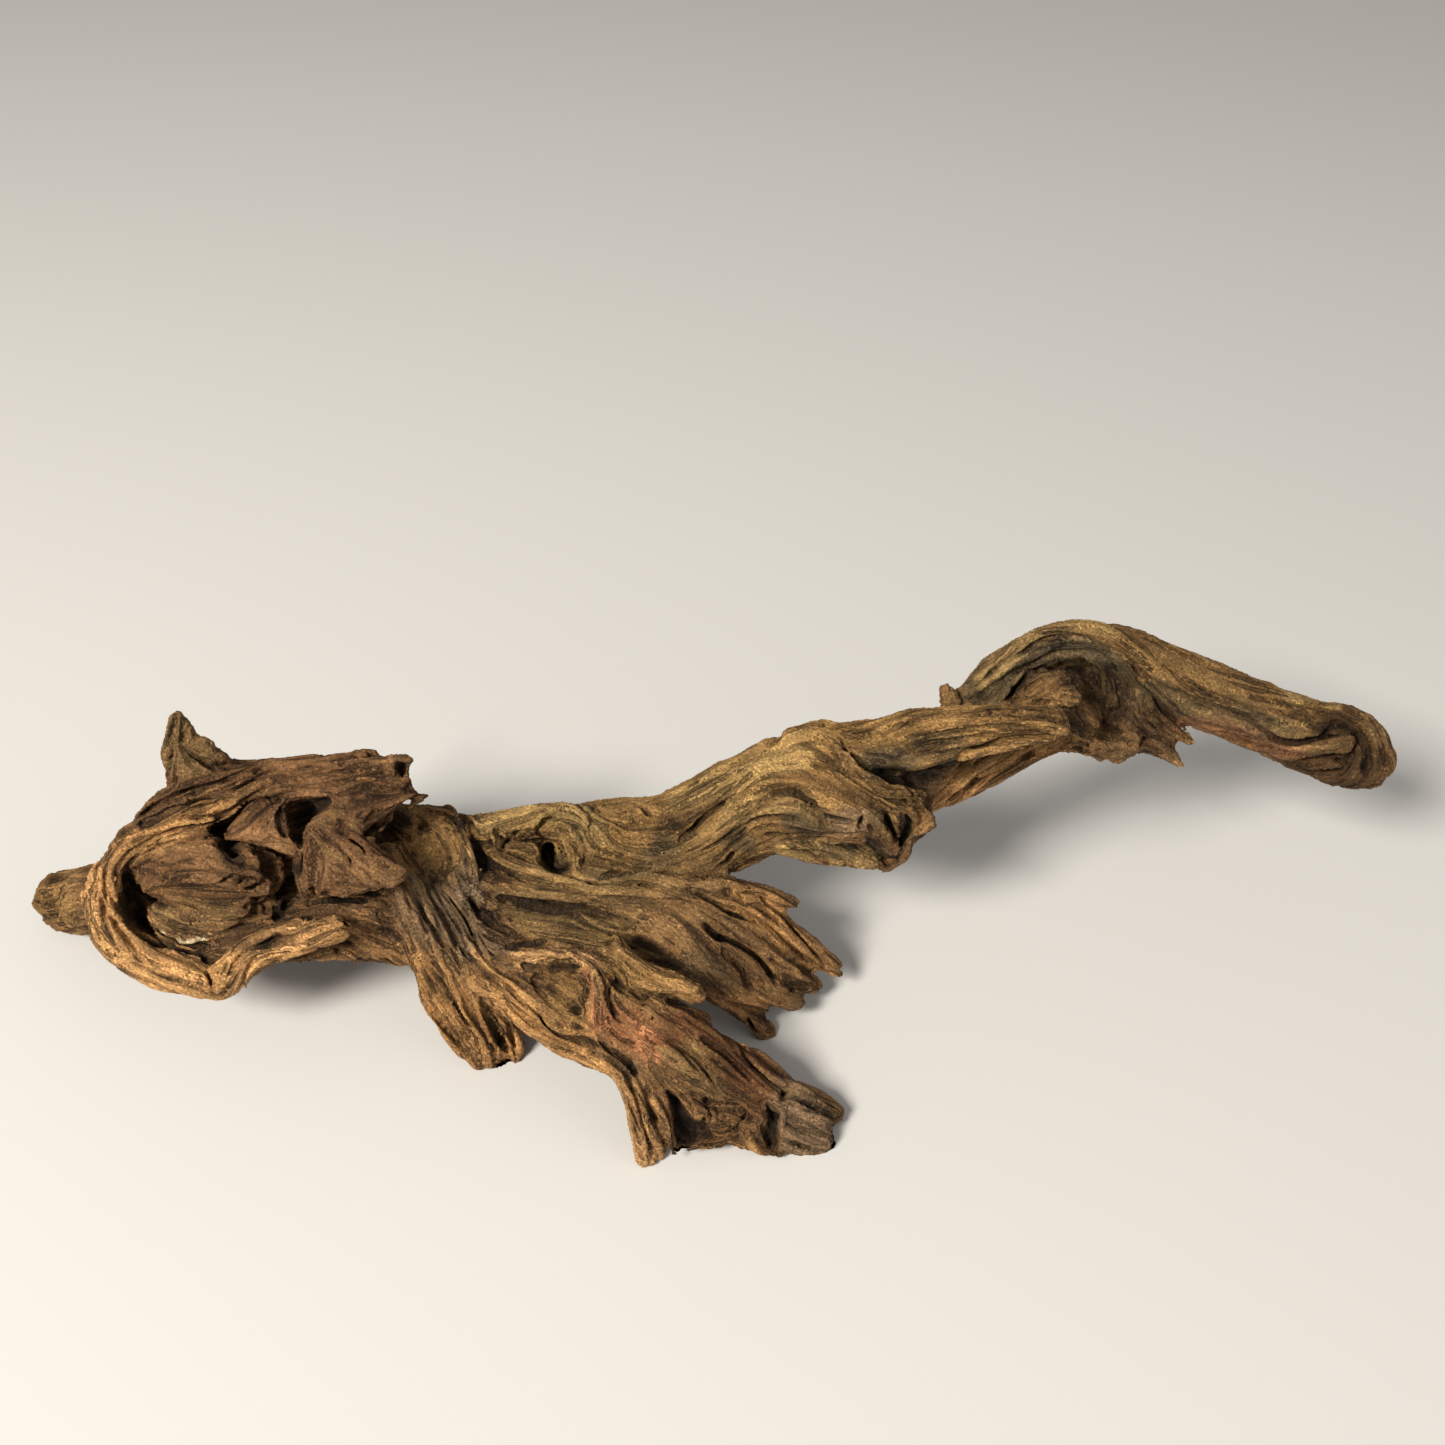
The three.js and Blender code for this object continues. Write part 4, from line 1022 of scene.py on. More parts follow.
def right_end(c):
    """The long straight part of the arch and the fist it ends in."""
    edge = [
        (1300, 704), (1322, 706), (1340, 710), (1356, 716), (1369, 725), (1380, 740), (1388, 758),
        (1383, 774), (1370, 782),
    ]
    c.rib(edge, 8, 4, ends=(0.5, 0.2))
    c.refresh()
    c.cleft([(1160, 681), (1190, 698), (1225, 711), (1255, 723), (1277, 738), (1300, 743)], 2, 2.8)
    c.rib([(1200, 724), (1240, 740), (1282, 754)], 5, 1.6)
    c.rib([(1225, 716), (1255, 732), (1285, 747)], 4, 1.4)
    c.cleft([(1190, 724), (1230, 738), (1270, 754)], 1, 2)
    c.cleft([(1272, 738), (1295, 742), (1318, 738), (1345, 734)], 2, 5)
    c.rib([(1283, 747), (1310, 746), (1338, 741), (1354, 739), (1352, 747), (1336, 753)], 4.5, 2.4)
    c.cleft([(1345, 733), (1359, 738), (1356, 749), (1336, 757), (1310, 760), (1295, 763)], 1.8, 5)
    c.rib([(1300, 767), (1325, 765), (1341, 765)], 4, 2)
    c.cleft([(1305, 772), (1330, 773), (1345, 771), (1345, 763), (1334, 758)], 1.8, 4)
    c.dent([(1358, 735), (1366, 750), (1360, 770), (1340, 780)], 13, 2.6)
    c.cleft([(1345, 718), (1366, 730), (1373, 750), (1363, 775)], 1, 1.6)
    c.cleft([(1340, 710), (1370, 724), (1382, 748), (1374, 778)], 0.9, 1.4)
    c.cleft([(1336, 722), (1330, 732), (1318, 737)], 1.6, 3)
    c.cleft([(1290, 703), (1315, 706), (1338, 708)], 1, 2)
    c.cleft([(1250, 692), (1280, 704), (1310, 712), (1338, 714)], 1, 1.6)
    c.cleft([(1262, 706), (1290, 714), (1322, 720)], 1, 1.3)
    c.cleft([(1130, 628), (1160, 645), (1195, 660), (1230, 672)], 1, 1.6)


def middle_root(c):
    """The broad hand under the trunk, and its grooved fingers."""
    c.cleft([(688, 889), (710, 900), (735, 914), (762, 925)], 2.6, 5)
    c.cleft([(702, 922), (718, 936), (742, 946), (765, 965), (777, 986)], 3, 7)
    c.cleft([(730, 905), (760, 920), (790, 945), (812, 966)], 2.4, 5)
    c.cleft([(722, 952), (740, 970), (752, 992)], 2.4, 5)
    c.cleft([(757, 895), (777, 910), (800, 938), (826, 966)], 1.8, 4)
    c.cleft([(600, 903), (640, 900), (680, 905), (700, 918)], 1.2, 2)
    c.rib([(688, 887), (720, 885), (750, 888), (776, 896), (797, 906)], 5, 2)
    c.spike([(775, 896), (788, 902), (797, 907)], 4, 2.4)
    c.rib([(720, 900), (755, 915), (790, 940), (815, 962), (838, 974)], 5, 2)
    c.spike([(815, 962), (828, 969), (841, 975)], 4, 2.4)
    c.rib([(712, 914), (745, 934), (780, 958), (810, 984)], 6, 2)
    c.rib([(702, 930), (730, 952), (760, 982), (772, 1000)], 6, 2)
    c.rib([(728, 1000), (755, 1004), (771, 1012)], 5, 2)
    c.hole(817, 974, 4, 8)
    c.cleft([(790, 990), (804, 985), (812, 990)], 1.4, 3, grain=False)
    c.pit([
        (566, 911), (584, 910), (602, 915), (620, 924), (634, 930), (628, 935), (612, 929), (594, 921),
        (578, 916),
    ], 8, 0.4, 2 * MM, 3 * MM)
    c.pit([
        (498, 950), (512, 944), (530, 940), (546, 937), (552, 941), (540, 946), (522, 949), (508, 953),
    ], 8, 0.3)
    c.pit([(622, 934), (640, 935), (660, 943), (676, 958), (670, 968), (650, 965), (634, 954)], 10, 0.4)
    c.pit([
        (480, 908), (520, 914), (570, 916), (596, 924), (616, 940), (596, 948), (560, 944), (520, 944),
        (482, 934),
    ], 3, 0.8)
    c.refresh()
    c.dent([(700, 990), (725, 985), (742, 990)], 9, 4, grain=False)
    c.cleft([(748, 1018), (752, 1028), (760, 1034)], 1.6, 4, grain=False)
    c.rib([(500, 880), (540, 893), (590, 898), (640, 895), (690, 900)], 7, 1.6)
    c.cleft([(560, 897), (610, 900), (650, 898)], 1, 1.8)
    c.rib([(505, 920), (540, 924), (572, 922), (596, 930)], 12, 1.2, ends=0.6)
    c.cleft([(474, 924), (486, 934), (500, 940), (514, 945)], 1.4, 3)
    c.cleft([(470, 900), (480, 914), (498, 928), (524, 936)], 1.2, 2)


def front_root(c):
    """The root that comes forward: a ledge over a dish, the bone-like spur, the leg and the rotted hollow."""
    c.rib([(505, 962), (525, 956), (550, 953), (575, 954), (592, 964)], 5, 2.6)
    c.pit([
        (536, 968), (556, 962), (578, 961), (591, 969), (594, 990), (591, 1012), (578, 1024),
        (560, 1014), (545, 1000), (532, 984),
    ], 6, 0.7)
    c.pit([(546, 963), (560, 960), (580, 961), (586, 970), (566, 975), (550, 972)], 9, 0.5)
    c.refresh()
    c.pad([
        (518, 963, 1), (532, 958, 1), (546, 962, 1), (549, 972, 1), (544, 985, 1), (530, 978, 1),
    ], 4, 1, 0.8)
    c.cleft([(522, 966), (531, 971), (542, 968)], 1.4, 2.4, grain=False)
    c.cleft([(530, 978), (538, 975), (547, 978)], 1.4, 2.4, grain=False)
    c.dent([(556, 976), (570, 984), (580, 996)], 5, 1.2, grain=False)
    c.rib([(548, 992), (562, 1000), (572, 1010)], 4, 0.8, grain=False)
    c.rib([(480, 968), (508, 985), (538, 1010), (568, 1030), (595, 1040)], 6, 2)
    c.rib([(500, 1002), (530, 1030), (560, 1050), (600, 1062), (625, 1080)], 6, 1.6)
    c.cleft([(505, 985), (530, 1010), (560, 1036), (592, 1048)], 1.5, 3)
    c.cleft([(490, 985), (520, 1012), (550, 1038), (590, 1055)], 1, 1.8)
    c.hole(507, 1010, 2, 4)
    c.rib([(590, 960), (600, 980), (598, 1008), (596, 1030)], 5, 1.8)
    c.rib([(612, 940), (624, 962), (634, 982), (645, 992)], 8, 3)
    c.cleft([(620, 968), (627, 984), (638, 999)], 1.5, 3)
    c.cleft([(610, 985), (611, 1004), (618, 1019)], 1.5, 2.6)
    c.spike([(634, 980, 1), (656, 984, 2), (678, 986, 3), (694, 989, 3)], 8, 4.4)
    c.rib([(692, 986, 3), (700, 990, 3), (699, 1001, 3)], 5, 2.6, grain=False)
    c.refresh()
    c.pad([
        (612, 946), (628, 955), (650, 970), (674, 980), (690, 985), (688, 991), (668, 991), (652, 994),
        (640, 1000), (626, 988), (612, 968),
    ], 6, 1, 0.3, anchors=[(614, 950, 1), (634, 968, 1), (640, 996, 1), (686, 988)])
    c.cleft([(622, 958), (640, 972), (662, 983), (684, 988)], 1.1, 1.6)
    c.cleft([(668, 1001), (685, 1006), (700, 1012)], 4, 9, grain=False)
    c.rib([(648, 1008), (658, 1000), (668, 1006)], 7, 3, grain=False)
    c.hole(652, 1019, 2, 4)
    c.cleft([(598, 1036), (606, 1046), (616, 1053), (628, 1060), (636, 1076)], 1.8, 5)
    c.cleft([(625, 1075), (635, 1100), (645, 1130), (652, 1160)], 1.5, 4)
    c.cleft([(638, 1078), (650, 1105), (662, 1135), (668, 1160)], 2, 3)
    c.rib([(632, 1085), (642, 1115), (650, 1150)], 4, 2)
    c.rib([(646, 1080), (660, 1110), (671, 1138), (676, 1156)], 4, 2)
    c.rib([(620, 1088), (630, 1112), (638, 1140), (645, 1163)], 4, 1.6)
    c.backing([
        (658, 1085), (690, 1085), (720, 1100), (745, 1105), (750, 1150), (700, 1152), (676, 1158),
        (664, 1120),
    ], 11, 9)
    c.refresh()
    c.pit([
        (664, 1091), (672, 1092), (681, 1099), (685, 1110), (691, 1116), (699, 1119), (705, 1108),
        (703, 1098), (710, 1100), (728, 1102), (742, 1104), (748, 1114), (742, 1128), (730, 1137),
        (722, 1143), (704, 1146), (691, 1148), (683, 1155), (676, 1152), (672, 1135), (669, 1112),
    ], 10, 0.2)
    c.pit([
        (664, 1091), (672, 1092), (681, 1099), (685, 1111), (692, 1117), (704, 1126), (696, 1130),
        (680, 1112),
    ], 15, 0.2)
    c.pit([
        (761, 1101), (768, 1098), (776, 1104), (784, 1112), (782, 1126), (779, 1142), (770, 1150),
        (766, 1143), (763, 1130), (765, 1121), (762, 1112),
    ], 9, 0.3)
    c.pit([(783, 1089), (790, 1088), (796, 1096), (790, 1101), (785, 1098)], 6, 0.2)
    c.refresh()
    c.pad([
        (706, 1107, 8), (722, 1103, 8), (738, 1104, 8), (744, 1112, 7), (736, 1125, 7), (722, 1136, 6),
        (710, 1128, 6),
    ], 9, 1.6, 0.2)
    c.refresh()
    c.cleft([(717, 1107), (720, 1120)], 1.1, 2.4, grain=False)
    c.cleft([(723, 1106), (727, 1123)], 1.1, 2.4, grain=False)
    c.cleft([(729, 1105), (732, 1121)], 1.1, 2.4, grain=False)
    c.cleft([(736, 1105), (736, 1119)], 1.1, 2.4, grain=False)
    c.cleft([(703, 1098), (707, 1106), (709, 1116), (713, 1126)], 1.8, 5, grain=False)
    c.rib([(684, 1153), (694, 1149), (714, 1147), (726, 1143)], 3.5, 2)
    c.pad([
        (676, 1093, 2), (690, 1096, 2), (703, 1100, 2), (706, 1108, 2), (701, 1119, 2), (694, 1118, 2),
        (686, 1108, 2),
    ], 6, 0.8, 0.2)
    c.cleft([(682, 1096), (690, 1104), (696, 1114)], 1.4, 2.4, grain=False)
    c.pad([
        (730, 1141, 1), (745, 1122, 1), (753, 1114, 1), (760, 1130, 1), (766, 1150, 1), (748, 1153, 1),
        (732, 1147, 1),
    ], 5, 0.6)
    c.rib([
        (676, 1078), (698, 1094), (716, 1099), (738, 1103), (750, 1110), (757, 1121), (762, 1136),
        (767, 1152),
    ], 3, 1.6)
    c.rib([(768, 1152), (775, 1157), (783, 1153)], 4, 2.4, grain=False)
    c.cleft([(786, 1087), (797, 1090), (801, 1097)], 1.1, 2.4, grain=False)
    c.pit([(829, 1121), (838, 1124), (838, 1133), (829, 1132), (826, 1126)], 12, 0.1)
    c.pad([
        (784, 1102), (799, 1093), (820, 1102), (836, 1110), (839, 1119), (829, 1124), (829, 1134),
        (829, 1148), (818, 1155), (800, 1152), (785, 1147), (780, 1130), (783, 1115),
    ], 10, 1.5, 0.5)
    c.refresh()
    c.pit([
        (800, 1068), (880, 1068), (880, 1180), (790, 1180), (790, 1157), (812, 1159), (826, 1157),
        (833, 1149), (832, 1134), (833, 1125), (842, 1119), (841, 1108), (836, 1101), (820, 1091),
        (805, 1081), (799, 1074),
    ], 60, 0)
    c.refresh()
    c.pit([
        (677, 1162), (681, 1155), (692, 1150), (712, 1148), (728, 1144), (742, 1150), (764, 1156),
        (766, 1180), (677, 1180),
    ], 60, 0)
    c.refresh()
    c.pit([
        (560, 1078), (584, 1067), (600, 1069), (612, 1077), (620, 1088), (625, 1101), (629, 1121),
        (634, 1145), (638, 1160), (640, 1168), (640, 1190), (560, 1190),
    ], 60, 0)
    c.refresh()
    c.cleft([(792, 1141), (806, 1147), (822, 1148)], 1.4, 2.4)
    c.cleft([(800, 1100), (818, 1110), (832, 1118)], 1.1, 1.8)
    c.dent([(795, 1118), (812, 1128), (826, 1136)], 7, 1.2)
    c.rib([(680, 1020), (710, 1045), (740, 1070), (765, 1090), (785, 1102)], 6, 2)
    c.cleft([(668, 1042), (690, 1057), (713, 1085), (721, 1098)], 2, 4)
    c.cleft([(700, 1036), (730, 1061), (756, 1086)], 1.4, 3)
    c.cleft([(722, 1030), (750, 1060), (775, 1084), (795, 1095)], 2.6, 5)
    c.hole(783, 1096, 4, 6)
    c.rib([(740, 1042), (765, 1062), (790, 1082), (815, 1100), (834, 1111)], 4, 1.6)
    c.cleft([(690, 1045), (705, 1065), (720, 1085)], 1, 2)


REGIONS = [
    stub,
    rim,
    bowl,
    lobe,
    brow,
    snout,
    horn,
    ear,
    small_root,
    trunk,
    knuckle,
    plank,
    arch,
    right_end,
    middle_root,
    front_root,
]


def draw_strokes(carver):
    """Every line and stroke, a region at a time."""
    for line in GRAIN_LINES:
        carver.trace(line)
    for region in REGIONS:
        region(carver)
        carver.cut_clefts()


# The grain


def flow_field(body, lines):
    """The grain's direction on a coarse grid near the surface, from the lines beside it, with a waver."""
    lines = [line[::FLOW_THIN] if len(line) > 2 * FLOW_THIN else line for line in lines]
    middles = np.concatenate([(line[1:] + line[:-1]) / 2 for line in lines]).astype(np.float32)
    ways = np.concatenate([np.diff(line, axis=0) for line in lines]).astype(np.float32)
    lengths = np.linalg.norm(ways, axis=1)
    keep = lengths > 1e-6
    middles, ways, lengths = middles[keep], ways[keep] / lengths[keep][:, None], lengths[keep]
    pairs = [(0, 0), (1, 1), (2, 2), (0, 1), (0, 2), (1, 2)]
    products = np.stack([ways[:, i] * ways[:, j] for i, j in pairs], axis=1) * lengths[:, None]
    flow = whole_field(FLOW_CELL)
    cells = np.stack(np.meshgrid(*[np.arange(n) for n in flow.shape], indexing="ij"), axis=-1).reshape(-1, 3)
    places = ((cells + np.array(flow.low)) * FLOW_CELL).astype(np.float32)
    near = np.abs(body.sample(body.values, places)) < FLOW_REACH
    flow.values = np.zeros((len(places), 3), np.float32)
    flow.values[:, 0] = 1
    places = places[near]
    sums = np.zeros((len(places), 6), np.float32)
    nearest = np.zeros(len(places), np.float32)
    squares = (middles**2).sum(1)
    for start in range(0, len(places), FLOW_BATCH):
        batch = slice(start, start + FLOW_BATCH)
        some = places[batch]
        gap = (some**2).sum(1)[:, None] + squares[None] - 2 * some @ middles.T
        gap = np.maximum(gap, 0)
        nearest[batch] = np.sqrt(gap.min(axis=1))
        weight = 1 / (gap + FLOW_SOFT**2) ** 2
        weight /= weight.sum(1)[:, None]
        sums[batch] = weight @ products
    tensors = np.empty((len(places), 3, 3), np.float32)
    for value, (i, j) in enumerate(pairs):
        tensors[:, i, j] = tensors[:, j, i] = sums[:, value]
    _, axes = np.linalg.eigh(tensors)
    best = axes[:, :, 2]
    best *= np.sign(best[:, :1] + 1e-6)
    flow.values[near] = best + WAVER * waver(places)
    flow.gaps = np.zeros(len(near), np.float32)
    flow.gaps[near] = nearest
    return flow


def cell_of(points, pitch, low, shape):
    """The flat index of the nearest grid cell."""
    at = np.rint(points / pitch).astype(np.int32) - np.array(low, np.int32)
    np.clip(at, 0, np.array(shape, np.int32) - 1, out=at)
    return (at[:, 0] * shape[1] + at[:, 1]) * shape[2] + at[:, 2]


def heading(flow, points, last):
    """The grain's direction at points, turned to agree with the last one."""
    way = flow.values.take(cell_of(points, FLOW_CELL, flow.low, flow.shape), axis=0)
    way *= np.sign(np.einsum("ij,ij->i", way, last) + 1e-9)[:, None]
    way += FLOW_KEEP * last
    way /= np.sqrt(np.einsum("ij,ij->i", way, way))[:, None]
    return way


def lattice(random):
    """Smooth random numbers on a cube that repeats."""
    table = random.standard_normal((LATTICE,) * 3).astype(np.float32)
    shifts = np.arange(-LATTICE_REACH, LATTICE_REACH + 1)
    kernel = np.exp(-0.5 * (shifts / (LATTICE_SOFT * LATTICE_PITCH)) ** 2)
    for axis in range(3):
        table = sum(float(w) * np.roll(table, i - LATTICE_REACH, axis) for i, w in enumerate(kernel))
    return (table / table.std()).ravel()


def lattice_noise(table, points, size):
    """The random number nearest to each point, for ribs of that size."""
    at = np.rint(points * (LATTICE_PITCH / size)).astype(np.int32) % LATTICE
    return table.take((at[:, 0] * LATTICE + at[:, 1]) * LATTICE + at[:, 2])


def waver(points):
    """A slow drift of the grain's lines, so that they aren't straight."""
    slow, quick = (points / size for size in WAVER_SIZES)
    drifts = []
    for axis, (twist, tilt) in enumerate(zip(WAVER_TWISTS, WAVER_TILTS)):
        second = (axis + 1) % 3
        third = (axis + 2) % 3
        drift = np.sin(slow[:, second] + twist * np.sin(slow[:, third]))
        drifts.append(drift + WAVER_QUICK * np.sin(quick[:, third] + quick[:, axis] * tilt))
    return np.stack(drifts, axis=1).astype(np.float32)


def grain(flow, points):
    """Noise smeared along the grain, at each of the grain's sizes, with mean 0 and deviation 1."""
    random = np.random.default_rng(SEED)
    points = points.astype(np.float32)
    tables = [lattice(random) for _ in GRAIN_SIZES]
    sums = [lattice_noise(t, points, s) for t, s in zip(tables, GRAIN_SIZES)]
    first = heading(flow, points, np.tile(np.float32(FLOW_START), (len(points), 1)))
    for sense in (1, -1):
        place = points.copy()
        way = sense * first
        for step in range(1, TRACE_STEPS + 1):
            place += way * np.float32(TRACE_STEP)
            way = heading(flow, place, way)
            for i, (table, size, share) in enumerate(zip(tables, GRAIN_SIZES, GRAIN_LENGTHS)):
                weight = math.cos(0.5 * math.pi * min(1, step / (TRACE_STEPS * share + 1)))
                if weight > TRACE_LEAST:
                    sums[i] += np.float32(weight) * lattice_noise(table, place, size)
    return [(s - s.mean()) / s.std() for s in sums]


def field_normals(field, points):
    """The way out of the wood at points."""
    steps = np.eye(3, dtype=np.float32) * field.voxel
    slopes = [field.sample(field.values, points + s) - field.sample(field.values, points - s) for s in steps]
    normals = np.stack(slopes, axis=1)
    return normals / np.maximum(np.linalg.norm(normals, axis=1), 1e-9)[:, None]


# The pieces


def labels_of(points):
    """For each point, the index of the nearest solid in the sorted list of nodes."""
    coarse = whole_field(LABEL_CELL)
    distances = []
    for name in sorted(frame["nodes"]):
        p, f = node_mesh(frame["nodes"][name])
        distances.append(coarse.sample(coarse.read(coarse.grid_of(p, triangles=f)), points))
    return np.argmin(distances, axis=0)


def make_piece(name, points, normals, quads, colours, floats, material):
    """One part of the wood's surface, with the whole surface's normals and its colours. Where two parts meet,
    their edges are the same."""
    used, inverse = np.unique(quads, return_inverse=True)
    corners = inverse.reshape(-1)
    count = len(quads)
    mesh = bpy.data.meshes.new(name)
    mesh.vertices.add(len(used))
    mesh.vertices.foreach_set("co", points[used].astype(np.float32).ravel())
    mesh.loops.add(len(corners))
    mesh.loops.foreach_set("vertex_index", corners.astype(np.int32))
    mesh.polygons.add(count)
    mesh.polygons.foreach_set("loop_start", np.arange(0, 4 * count, 4, dtype=np.int32))
    mesh.polygons.foreach_set("use_smooth", np.ones(count, bool))
    mesh.update(calc_edges=True)
    mesh.validate()
    if len(mesh.loops) == len(corners):
        mesh.normals_split_custom_set(normals[used][corners].astype(np.float32))
    tint = mesh.attributes.new("tint", "FLOAT_COLOR", "POINT")
    rgba = np.ones((len(used), 4), np.float32)
    rgba[:, :3] = colours[used]
    tint.data.foreach_set("color", rgba.ravel())
    for key, values in floats.items():
        layer = mesh.attributes.new(key, "FLOAT", "POINT")
        layer.data.foreach_set("value", values[used].astype(np.float32))
    mesh.materials.append(material)
    piece = bpy.data.objects.new(name, mesh)
    bpy.context.scene.collection.objects.link(piece)
    return piece


# Colour


def srgb(red, green, blue):
    """A colour as linear values."""
    values = np.array([red, green, blue]) / 255
    return ((values + 0.055) / 1.055) ** 2.4


# The palette
DEPTH = (0.735, 0.735, 0.66)  # what each channel is multiplied by
UMBER = srgb(150, 111, 74)
RUSSET = srgb(128, 90, 60)
LOBE = srgb(124, 88, 58)
AMBER = srgb(240, 182, 122)
RUST = srgb(100, 60, 34)
# painted shade for the fist's end face, which faces away from the light
FIST_END_SHADE = srgb(84, 58, 33)
OLIVE = srgb(146, 116, 76)
TAN = srgb(205, 152, 98)
APRICOT = srgb(222, 170, 118)
OCHRE = srgb(166, 127, 79)
STRAW = srgb(205, 168, 112)
WEATHERED = srgb(146, 120, 96)
SLATE = srgb(98, 84, 64)
GREY_BROWN = srgb(104, 86, 62)
BARK = srgb(100, 74, 48)
REDDISH = srgb(140, 88, 62)
PINK = srgb(186, 124, 86)
GREYISH = srgb(148, 120, 94)
SHEEN = srgb(176, 150, 124)
BONE = srgb(226, 200, 164)
# near black: painted shade in pits, gaps and hollows, and partly in the grain's furrows
SHADE_BLACK = srgb(38, 25, 16)

ZONE_STEP = 0.4  # between the samples of a zone's line, as a share of its radius
ZONE_REACH = 1.6  # how far out a zone is looked for, as a share of its radius
ZONE_EDGE = (0.55, 1.25)  # where it starts to fade and where it ends, as shares of its radius
ZONE_FRAY = (0.16, 0.08)  # how much the coarse and the middle grain fray its edge
SHADES = (0.10, 0.15, 0.13)  # how much the ridges of each grain lighten the wood
SHADE_LIMITS = (0.35, 1.7)

# A colour, its greatest share, and where that starts and ends in the measure that calls for it
RIDGE_TINT = (STRAW, 0.35, 1.0, 2.8)
# darker in the grain's furrows: dust, and painted shade
FURROW_TINT = (SHADE_BLACK, 0.6, 0.9, 2.6)
# painted shade: darker where much wood lies round a point, in hollows and creases
HOLLOW_SHADE_TINT = (SHADE_BLACK, 0.8, 0.0, 0.45)
# painted highlight: paler on crests that stand out
CREST_HIGHLIGHT_TINT = (APRICOT, 0.2, 0.3, 0.7)

